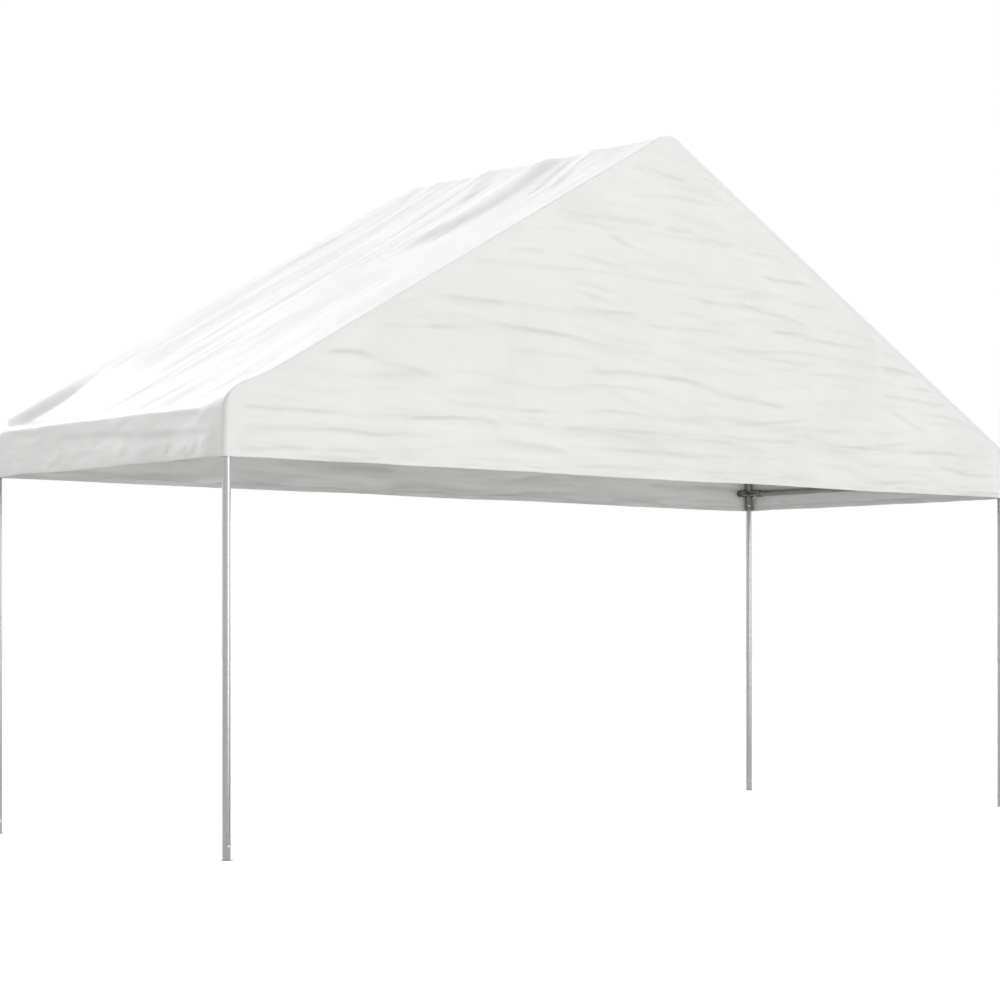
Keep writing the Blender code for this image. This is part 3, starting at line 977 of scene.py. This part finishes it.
def slopeSag(t, y, side):
    # How far the slope hangs between its rafters, and in the hollow beside a fitting
    shape = coverShape
    away = np.abs(y)
    sag = shape["slopeSag"] * (1 - np.clip((away - 0.35) / 0.75, 0, 1) ** 2)
    sag += shape["backSag"] * (1 - evenRise(0.5, 1.05, y)) * evenRise(-1.05, 0.3, y)
    sag *= smoothStep(0.1, 0.9, t) * smoothStep(0, 1.1, slopeLength - t)
    hollow = shoulderValue("hollow", y, side) * (1 - evenRise(0.95, 1.125, away))
    hollow = hollow * smoothStep(0.0, 0.8, away)
    return sag + hollow * smoothStep(0.0, 0.16, t) * (1 - smoothStep(0.35, 0.80, t))


def eaveDrop(t, y, side, calm):
    # How far the eave lies lower between its fittings, less and less up the slope and down the valance
    drop = coverShape["eaveDrop"] * (1 - smoothStep(shoulderValue("rise", y, side), 1.09, np.abs(y)))
    drop += 0.0022 * softNoise(y, y * 0, 0.13, 1.0, sheetSeeds["eave"][side]) * calm
    return drop * np.where(t > 0, 1 - smoothStep(0.1, 0.9, t), 1 - np.clip(-t / 0.26, 0, 1) ** 2)


def valanceRelief(t, y, z, side, calm, hang):
    # Soft ripples, creases and a hem that stands out a little
    seed = sheetSeeds["valance"][side]
    ripples = 0.007 * softNoise(y, t * 0.4, 0.34, 0.3, seed)
    ripples += 0.0035 * softNoise(y, t, 0.13, 0.16, seed + 1)
    creases = 0.0010 * softNoise(y, t, 0.11, 0.028, seed + 2)
    creases += 0.0022 * softNoise(y + 0.4 * t, t, 0.10, 0.09, seed + 4)
    creases += sum(foldStep(y * -side, z, *fold) for fold in valanceFolds)
    relief = hang * (coverShape["hemFlare"] + (ripples + 0.004) * calm)
    return relief + creases * smoothStep(0.01, 0.05, -t) * calm


def halfCover(t, y, wrap, side):
    # Points of one side of the cover at (up from the eave, along the ridge), where the border
    # wraps inwards by so much
    x, z, outX, outZ = sectionPoint(t, y, side)
    away = np.abs(y)
    down = slopeLength - t
    calm = smoothStep(0.0, 0.12, tentLines["halfBay"] - away)
    hang = smoothStep(0.0, coverShape["valance"], -t)
    z = z - eaveDrop(t, y, side, calm)
    lift = slopeRelief(y, down, side) * smoothStep(0.0, 0.10, t) - slopeSag(t, y, side)
    lift += valanceRelief(t, y, z, side, calm, hang)
    x = x + outX * lift
    z = z + outZ * lift

    # The hem waves a little, and the ridge's waves run out along the folds below them
    seed = sheetSeeds["valance"][side]
    z = z + hang * calm * 0.004 * softNoise(y, y * 0, 0.35, 1.0, seed + 3)
    z = z + hang * calm * 0.002 * softNoise(y, y * 0, 0.11, 1.0, seed + 5)
    places, heights = zip(*ridgeWaves)
    slant = y + 0.4 * down * (side < 0)
    wave = sum(np.interp(slant + shift, places, heights) for shift in (-0.018, 0, 0.018)) / 3
    z = z + wave * np.exp(-((down / 0.30) ** 2)) * smoothStep(0, 0.04, 1.15 - away)
    return x - outX * wrap, z - outZ * wrap


def borderRound(t):
    # Radius of the cover's edge over a gable: small along the rake, larger down the upright corner
    small = coverShape["rakeRound"]
    return small + (coverShape["cornerRound"] - small) * (1 - smoothStep(-0.03, 0.10, t))


def turnedHem(bottom, above, outward):
    # Rows of a hem that turns inwards and runs back up inside, from the sheet's lowest row
    inwards = above - bottom
    inwards /= np.linalg.norm(inwards, axis=1, keepdims=True)
    radius = coverShape["hemRound"]
    rows = []
    for share in (0.25, 0.5, 0.75, 1.0):
        turn = math.pi * share
        rows.append(bottom - radius * ((1 - math.cos(turn)) * outward + math.sin(turn) * inwards))
    for share in (0.3, 0.65, 0.97, 1.0):
        inset = 2 * radius if share < 1 else 2 * radius - 0.0006
        rows.append(bottom - outward * inset + inwards * coverShape["hemFold"] * share)
    return np.array(rows)


def makeCover(sheeting):
    shape = coverShape
    valance = shape["lineZ"] - math.tan(tentLines["pitch"]) * shape["faceX"] - tentLines["hemZ"]
    # Rows from the hem up to the ridge, close together at the eave and the ridge
    rows = [(-valance, 0.0125), (-0.05, 0.010), (0.07, 0.016), (0.26, 0.05)]
    ts = spaced(rows + [(slopeLength - 0.10, 0.014), (slopeLength, 1)])
    # Columns: the flat stretch, the rounded border and the flap down the gable
    flat = spaced(((-1, 0.0128), (1, 1)))
    quarter = [math.pi / 2 * i / 5 for i in range(1, 6)]
    turns = [(math.sin(a), 1 - math.cos(a), 0.0) for a in quarter]
    turns += [(1, 1, 0.08), (1, 1, 0.5), (1, 1, 1)]
    before = [(-1, -sine, rise, out) for sine, rise, out in turns[::-1]]
    after = [(1, sine, rise, out) for sine, rise, out in turns]
    columns = np.array(before + [(share, 0, 0, 0) for share in flat] + after)
    border = borderRound(ts)[:, None]
    flatY = columns[:, 0] * (shape["edgeY"] - border)
    yGrid = flatY + columns[:, 1] * border
    # The flap runs out at the hem, so that two hems don't meet
    grown = smoothStep(0.0, 0.045, ts + valance)[:, None]
    flap = shape["hemFlap"] + (shape["flap"] - shape["hemFlap"]) * grown
    wrap = columns[:, 2] * border + columns[:, 3] * flap
    tGrid = np.broadcast_to(ts[:, None], yGrid.shape)
    halves = []
    for side in (-1, 1):
        x, z = halfCover(tGrid, flatY, wrap, side)
        halves.append(np.stack([-side * x, yGrid, z], axis=2))
    left = halves[0]
    right = halves[1][::-1]
    crest = (left[-1] + right[0]) / 2
    sheet = np.concatenate([left[:-1], crest[None], right[1:]])
    normals = gridNormals(sheet, (0, 0, 1))
    lowLeft = turnedHem(sheet[0], sheet[1], normals[0])[::-1]
    lowRight = turnedHem(sheet[-1], sheet[-2], normals[-1])
    sheet = np.concatenate([lowLeft, sheet, lowRight])
    cover = gridObject("roofCover", sheet, sheeting, np.zeros(sheet.shape[:2]), shape["thickness"], True)
    handIn(
        cover, "white_sheeting",
        "canopy_slope_left", "canopy_slope_right", "canopy_shoulder_left",
        "canopy_shoulder_right", "canopy_valance_left", "canopy_valance_right",
    )
    print("roof cover done:", sheet.shape)


gableShape = {
    "faceY": 1.1449,  # outside of the gable sheet, just inside the cover's flap
    "tuck": 0.0005,  # from the end of the border's round to the gable's edge
    "thickness": 0.0009,
}

# Folds in the gable from packing, as (x, z) points with depth, width and reach.
# A positive depth is a step that overhangs and reads dark, a negative one reads light.
gableFolds = (
    (((-1.18, 2.2), (-1.07, 2.215), (-0.8, 2.203), (-0.5, 2.215), (-0.25, 2.206), (0.0, 2.206),
      (0.25, 2.212), (0.45, 2.22), (0.65, 2.205), (0.85, 2.215), (0.92, 2.22), (1.1, 2.205)),
      0.0031, 0.009, 0.03),
    (((-2.96, 2.197), (-2.5, 2.205), (-2.2, 2.197), (-2.0, 2.205), (-1.5, 2.215), (-1.32, 2.213),
      (-1.22, 2.17)), 0.0031, 0.009, 0.03),
    (((1.22, 2.2), (1.28, 2.205), (2.0, 2.208), (2.87, 2.205)), 0.0029, 0.009, 0.03),
    (((-1.1, 3.06), (-0.5, 3.065), (0.2, 3.06), (0.6, 3.066), (1.1, 3.06)), 0.0029, 0.009, 0.03),
    (((-0.62, 2.525), (-0.55, 2.53), (-0.3, 2.53), (0.1, 2.525), (0.2, 2.51), (0.35, 2.47), (0.5, 2.45),
      (0.65, 2.435), (0.75, 2.43), (0.95, 2.42)), 0.0045, 0.0105, 0.035),
    (((-0.55, 3.365), (-0.3, 3.37), (0.15, 3.355), (0.25, 3.325), (0.5, 3.31), (0.65, 3.285),
      (0.95, 3.28)), 0.0042, 0.0105, 0.035),
    (((-2.42, 2.5), (-2.17, 2.515), (-2.0, 2.475), (-1.85, 2.455), (-1.72, 2.43), (-1.64, 2.39)),
      0.0051, 0.0105, 0.035),
    (((1.7, 2.535), (1.95, 2.53), (2.45, 2.5)), 0.0042, 0.0105, 0.035),
    (((-0.08, 2.407), (0.2, 2.4), (0.35, 2.385), (0.5, 2.365)), -0.0019, 0.008, 0.025),
    (((-0.05, 3.265), (0.2, 3.27), (0.4, 3.245), (0.65, 3.25)), -0.0018, 0.008, 0.025),
    (((-2.38, 2.415), (-2.15, 2.41), (-2.0, 2.385), (-1.82, 2.34)), -0.0022, 0.008, 0.025),
    (((-0.48, 2.44), (-0.35, 2.39), (-0.18, 2.34)), 0.0026, 0.01, 0.03),
    (((-0.48, 3.28), (-0.25, 3.22), (-0.1, 3.19)), 0.0024, 0.01, 0.03),
    (((1.85, 2.44), (2.05, 2.38), (2.2, 2.32)), 0.0026, 0.01, 0.03),
    (((-1.72, 2.32), (-1.6, 2.3), (-1.5, 2.295), (-1.18, 2.285), (-0.8, 2.29)), 0.0016, 0.008, 0.03),
    (((0.7, 2.312), (0.85, 2.295), (1.0, 2.29), (1.65, 2.3)), 0.0016, 0.008, 0.03),
    (((0.7, 3.152), (1.2, 3.14)), 0.0016, 0.008, 0.03),
    (((-2.0, 2.238), (-1.78, 2.24)), 0.0011, 0.006, 0.03),
    (((-1.16, 2.65), (-1.13, 2.605), (-0.8, 2.595), (-0.55, 2.585)), 0.0016, 0.009, 0.03),
    (((0.1, 2.7), (0.6, 2.69), (0.9, 2.685), (1.1, 2.675), (1.3, 2.68)), 0.0026, 0.01, 0.03),
    (((-2.05, 2.66), (-1.45, 2.69)), 0.0026, 0.01, 0.03),
    (((-1.66, 2.85), (-1.3, 2.85), (-1.18, 2.825)), 0.0018, 0.007, 0.03),
    (((0.8, 2.855), (1.15, 2.85)), 0.0016, 0.007, 0.03),
    (((1.08, 2.83), (1.35, 2.825)), 0.0016, 0.007, 0.03),
    (((0.33, 2.865), (0.55, 2.865)), 0.0014, 0.007, 0.03),
    (((-0.6, 2.86), (-0.2, 2.86)), 0.0014, 0.007, 0.03),
    (((-1.66, 2.01), (-1.18, 2.012), (-0.2, 2.012), (0.5, 2.015), (1.3, 2.0)), 0.0013, 0.007, 0.03),
    (((-2.8, 2.02), (-2.3, 2.01), (-1.9, 2.012)), 0.0013, 0.007, 0.03),
    (((1.5, 2.012), (2.2, 2.01), (2.8, 2.015)), 0.0013, 0.007, 0.03),
    (((-0.8, 2.99), (-0.45, 2.975)), 0.0016, 0.008, 0.03),
    (((-0.05, 2.99), (0.45, 2.965), (0.85, 2.98)), 0.0016, 0.008, 0.03),
    (((-0.9, 2.115), (-0.4, 2.105), (0.45, 2.11), (0.9, 2.12)), 0.0013, 0.008, 0.03),
    (((1.5, 2.115), (2.1, 2.105), (2.7, 2.12)), 0.0013, 0.008, 0.03),
    (((-2.7, 2.115), (-2.1, 2.105), (-1.6, 2.12)), 0.0013, 0.008, 0.03),
    (((-1.2, 3.14), (-0.9, 3.15)), 0.0016, 0.008, 0.03),
    (((-0.85, 3.385), (-0.5, 3.36)), 0.0019, 0.01, 0.03),
    (((-0.32, 3.685), (-0.15, 3.675), (0.0, 3.65), (0.18, 3.625)), 0.0022, 0.01, 0.03),
    (((0.08, 3.61), (0.3, 3.57), (0.58, 3.515)), 0.0022, 0.01, 0.03),
    (((-0.3, 2.815), (0.0, 2.8), (0.3, 2.812), (0.55, 2.81)), 0.0016, 0.008, 0.03),
    (((-1.165, 2.18), (-1.155, 2.4), (-1.16, 2.68)), 0.0012, 0.022, 0.05),
    (((1.222, 2.18), (1.215, 2.3), (1.222, 2.48)), 0.0012, 0.022, 0.05),
)


def gableWidths(end):
    # Half width of the gable at each height, left and right, read off the cover's border section
    shape = coverShape
    t = np.linspace(-0.30, slopeLength, 1200)
    border = borderRound(t)
    sides = []
    for side in (-1, 1):
        x, z = halfCover(t, end * (shape["edgeY"] - border), border + gableShape["tuck"], side)
        order = np.argsort(z)
        sides.append((z[order], -x[order]))
    return sides


def creasedNoise(across, up, cellAcross, cellUp, seed):
    # Noise whose zero lines stand up as thin creases
    return (1 - np.abs(softNoise(across, up, cellAcross, cellUp, seed))) ** 3


# Wrinkles of a gable: the noise, height, size of a cell across and up, and step of the seed
gableWrinkles = (
    (softNoise, 0.0050, 0.42, 0.08, 1),
    (softNoise, 0.0020, 0.26, 0.034, 2),
    (creasedNoise, 0.0054, 0.60, 0.11, 7),
    (creasedNoise, 0.0020, 0.36, 0.05, 8),
)


def gableRelief(x, z, end):
    # Long, thin, nearly level wrinkles that a folded and unpacked sheet keeps
    seed = sheetSeeds["gable"][end]
    warpX = x + 0.12 * softNoise(x, z, 0.8, 0.3, seed + 5)
    warpZ = z + 0.03 * softNoise(x, z, 0.5, 0.35, seed + 6) + 0.06 * x * smoothStep(2.3, 3.0, z)
    relief = 0.0045 * softNoise(x, z, 0.62, 0.23, seed)
    fine = np.zeros(x.shape)
    for noise, height, cellX, cellZ, step in gableWrinkles:
        fine += height * noise(warpX, warpZ, cellX, cellZ, seed + step)
    return relief + fine * (1.7 + 0.7 * (1 - smoothStep(2.2, 2.45, z)))


def makeGable(name, end, sheeting):
    shape = gableShape
    widths = gableWidths(end)
    topZ = min(widths[0][0][-1], widths[1][0][-1]) - 0.006
    hem = tentLines["hemZ"]
    # Rows lie closer together at the two long folds
    rows = [(hem, 0.0085), (2.175, 0.005), (2.235, 0.0072), (3.04, 0.0055), (3.09, 0.0072)]
    zs = spaced(rows + [(topZ, 1)])
    us = spaced(((-1, 0.006), (-0.97, 0.0135), (0.97, 0.006), (1, 1)))
    zGrid, uGrid = np.meshgrid(zs, us, indexing="ij")
    leftWidth = np.interp(zs, *widths[0])[:, None]
    rightWidth = np.interp(zs, *widths[1])[:, None]
    halfWidth = np.where(uGrid < 0, leftWidth, rightWidth)
    xGrid = uGrid * halfWidth
    # The sheet is held flat along the rakes and at the posts
    free = smoothStep(0.035, 0.13, halfWidth * (1 - np.abs(uGrid)))
    # The back gable has the front one's folds, seen from outside
    patternX = -end * xGrid
    seed = sheetSeeds["gableFolds"]
    patternZ = zGrid + 0.006 * softNoise(xGrid, zGrid, 0.10, 0.3, seed)
    patternZ += 0.003 * softNoise(xGrid, zGrid, 0.04, 0.2, seed + 1)
    patchy = 0.75 + 0.55 * softNoise(xGrid, zGrid, 0.13, 0.06, seed + 2)
    relief = gableRelief(xGrid, zGrid, end)
    shade = np.zeros(xGrid.shape)
    for stroke, depth, width, reach in gableFolds:
        # A long fold runs out nearer to its ends
        ends = 0.06 if len(stroke) > 6 else 0.18
        relief += patchy * foldStep(patternX, patternZ, stroke, depth, width, reach, ends)
        # Painted shade: each overhanging fold also darkens the colour along its line, through the
        # creaseShade attribute
        if depth > 0:
            steepness = min(1.0, depth / width * 6)
            shade += foldShade(patternX, patternZ, stroke, width * 1.3, ends) * steepness
    shade *= patchy
    relief *= free
    seed = sheetSeeds["gableHem"][end]
    hemZone = 1 - smoothStep(0.0, 0.22, zGrid - hem)
    relief += hemZone * free * (0.006 + 0.005 * softNoise(xGrid, zGrid * 0, 0.45, 1.0, seed))
    yGrid = end * (shape["faceY"] + relief)
    wave = 0.003 * softNoise(xGrid, zGrid * 0, 0.7, 1.0, seed + 1) * free
    sheet = np.stack([xGrid, yGrid, zGrid + wave * hemZone], axis=2)
    normals = gridNormals(sheet, (0, end, 0))
    hemRows = turnedHem(sheet[0], sheet[1], normals[0])[::-1]
    sheet = np.concatenate([hemRows, sheet])
    shade = np.concatenate([np.zeros((len(hemRows), len(us))), shade * 0.8 * free])
    gable = gridObject("gable" + name, sheet, sheeting, shade, shape["thickness"], end > 0)
    handIn(gable, "white_sheeting", "canopy_gable_" + name.lower())


floorLook = {
    "rings": (3.0, 6.0, 12.0, 30.0, 90.0),  # radii, the last one is the floor's edge
    "pale": (0.635, 0.635, 0.63),
    "roughness": 0.9,
    "specular": 0.1,
    "glow": 0.85,
    "drop": 0.0005,  # how far it lies under the feet
}


def makeFloor():
    look = floorLook
    bm = bmesh.new()
    rings = []
    for radius in look["rings"]:
        points = circle(Vector(), Vector((1, 0, 0)), Vector((0, 1, 0)), radius, 64)
        rings.append([bm.verts.new(point) for point in points])
    bm.faces.new(rings[0])
    joinRings(bm, rings)
    bmesh.ops.recalc_face_normals(bm, faces=bm.faces)
    material, tree = newMaterial("paleFloor")
    cloud = addNoise(tree, objectPoint(tree), 0.6, 3.0, 0.5)
    duller = tuple(value * 0.99 for value in look["pale"])
    base = addRamp(tree, cloud, (0.35, duller), (0.65, look["pale"]))
    shader = addNode(tree, "ShaderNodeBsdfPrincipled", Base_Color=base, Roughness=look["roughness"])
    shader.inputs["Specular IOR Level"].default_value = look["specular"]
    # The floor looks white but throws back less light than white would
    rays = tree.nodes.new("ShaderNodeLightPath")
    shown = addMath(tree, "MULTIPLY", rays.outputs["Is Camera Ray"], look["glow"])
    glow = addNode(tree, "ShaderNodeEmission", Strength=shown)
    endIn(tree, "ShaderNodeOutputMaterial", mixShaders(tree, "ShaderNodeAddShader", shader, glow))
    floor = meshObject("floor", bm, material)
    floor.location.z = -look["drop"]


# Brightness of the studio round the tent, in bands that start and end at these heights
# (the sine of the angle above the floor), each with a value for every side
skyLook = {
    "bands": (
        {"from": (-1.0, -0.9), "to": (0.20, 0.28),
         "front": 0.94, "left": 0.78, "back": 1.03, "right": 1.48},
        {"from": (0.20, 0.28), "to": (0.53, 0.61),
         "front": 1.26, "left": 0.46, "back": 2.00, "right": 1.10},
        {"from": (0.53, 0.61), "to": (0.84, 0.92),
         "front": 0.05, "left": 0.30, "back": 1.41, "right": 0.21},
    ),
    "backdrop": 1.0,  # what the camera sees behind the tent
    "suns": (
        {"name": "softKey", "power": 0.80, "from": (0.1, -0.97, 0.6), "angle": 24,
         "tint": (1, 0.995, 0.985)},
        {"name": "backSun", "power": 2.09, "from": (-0.1, 0.85, 0.51), "angle": 26,
         "tint": (0.985, 1, 1), "spares": "gableBack"},
    ),
    # A tall strip in front, which draws the line of light down each tube
    "strip": {
        "place": (0.6, -14.0, 3.6),
        "aim": (0, 0, 2.2),
        "width": 1.9,
        "height": 7.2,
        "power": 212,
    },
}


def makeSky(look):
    scene = bpy.context.scene
    scene.world = bpy.data.worlds.new("studio")
    scene.world.use_nodes = True
    tree = scene.world.node_tree
    tree.nodes.clear()
    coords = tree.nodes.new("ShaderNodeTexCoord")
    split = addNode(tree, "ShaderNodeSeparateXYZ", Vector=coords.outputs["Generated"])
    x, y, height = (split.outputs[name] for name in "XYZ")
    flat = addMath(tree, "SUBTRACT", 1.0001, addMath(tree, "MULTIPLY", height, height))
    sectors = {}
    for name, value, sign in (("front", y, -1), ("left", x, -1), ("back", y, 1), ("right", x, 1)):
        facing = addMath(tree, "MAXIMUM", addMath(tree, "MULTIPLY", value, sign), 0.0)
        sectors[name] = addMath(tree, "DIVIDE", addMath(tree, "MULTIPLY", facing, facing), flat)

    def heightShare(low, high):
        # 0 below the first height and 1 above the second
        share = addMath(tree, "DIVIDE", addMath(tree, "SUBTRACT", height, low), high - low)
        return addMath(tree, "MAXIMUM", addMath(tree, "MINIMUM", share, 1.0), 0.0)

    total = 0.0
    for band in look["bands"]:
        inBand = addMath(tree, "SUBTRACT", heightShare(*band["from"]), heightShare(*band["to"]))
        for name, share in sectors.items():
            part = addMath(tree, "MULTIPLY", addMath(tree, "MULTIPLY", share, band[name]), inBand)
            total = addMath(tree, "ADD", total, part)
    white = (1, 1, 1, 1)
    light = addNode(tree, "ShaderNodeBackground", Color=white, Strength=total)
    backdrop = addNode(tree, "ShaderNodeBackground", Color=white, Strength=look["backdrop"])
    either = mixShaders(tree, "ShaderNodeMixShader", light, backdrop)
    rays = tree.nodes.new("ShaderNodeLightPath")
    tree.links.new(rays.outputs["Is Camera Ray"], either.inputs["Fac"])
    endIn(tree, "ShaderNodeOutputWorld", either)


def hangLamp(name, kind, power, towards):
    data = bpy.data.lights.new(name, kind)
    data.energy = power
    lamp = newObject(name, data)
    lamp.rotation_euler = Vector(towards).to_track_quat("Z", "Y").to_euler()
    return lamp


def makeLight():
    makeSky(skyLook)
    for sun in skyLook["suns"]:
        lamp = hangLamp(sun["name"], "SUN", sun["power"], sun["from"])
        lamp.data.angle = math.radians(sun["angle"])
        lamp.data.color = sun["tint"]
        if "spares" in sun:
            # Straight behind the back gable, this light would bleach it in views from there
            spared = bpy.data.collections.new("sparedBy" + sun["name"])
            spared.objects.link(bpy.data.objects[sun["spares"]])
            lamp.light_linking.receiver_collection = spared
            spared.collection_objects[0].light_linking.link_state = "EXCLUDE"
    strip = skyLook["strip"]
    lamp = hangLamp("strip", "AREA", strip["power"], Vector(strip["place"]) - Vector(strip["aim"]))
    lamp.location = strip["place"]
    lamp.data.shape = "RECTANGLE"
    lamp.data.size = strip["width"]
    lamp.data.size_y = strip["height"]
    lamp.visible_camera = False


cameraFit = {
    "place": (-9.914, -11.479, 1.099),
    "yaw": math.radians(41.10),
    "lens": 92.16,
    "shiftX": -0.0482,
    "shiftY": 0.1334,
}


def makeCamera():
    fit = cameraFit
    data = bpy.data.cameras.new("photoView")
    data.sensor_width = 36
    data.lens = fit["lens"]
    data.shift_x = fit["shiftX"]
    data.shift_y = fit["shiftY"]
    data.clip_end = 400
    camera = newObject("photoView", data)
    camera.location = fit["place"]
    camera.rotation_euler = (math.pi / 2, 0, -fit["yaw"])
    bpy.context.scene.camera = camera


def main():
    makeCamera()
    sheeting = makeSheeting()
    steel = makeSteel(steelLook)
    # A darker copy of the steel paints the shade under the canopy onto the fittings and purlins
    darker = makeSteel(shadedSteelLook)
    zinc = makeBoltZinc()
    plastic = makePlastic()
    print("finishes done")
    for corner in corners:
        makeFootPlate(corner, steel)
        makePost(corner, steel, zinc)
        makeEaveConnector(corner, darker, zinc)
        makeEndPlug(corner, plastic)
    makeRidgeConnector("Front", -1, darker, zinc)
    makeRidgeConnector("Back", 1, darker, zinc)
    for corner in corners:
        makeRafters(corner, steel, zinc)
    makePurlins(darker)
    print("frame done")
    makeCover(sheeting)
    makeGable("Front", -1, sheeting)
    makeGable("Back", 1, sheeting)
    makeFloor()
    makeLight()
    bpy.context.scene.view_settings.view_transform = "Standard"
    print("stage done")


main()
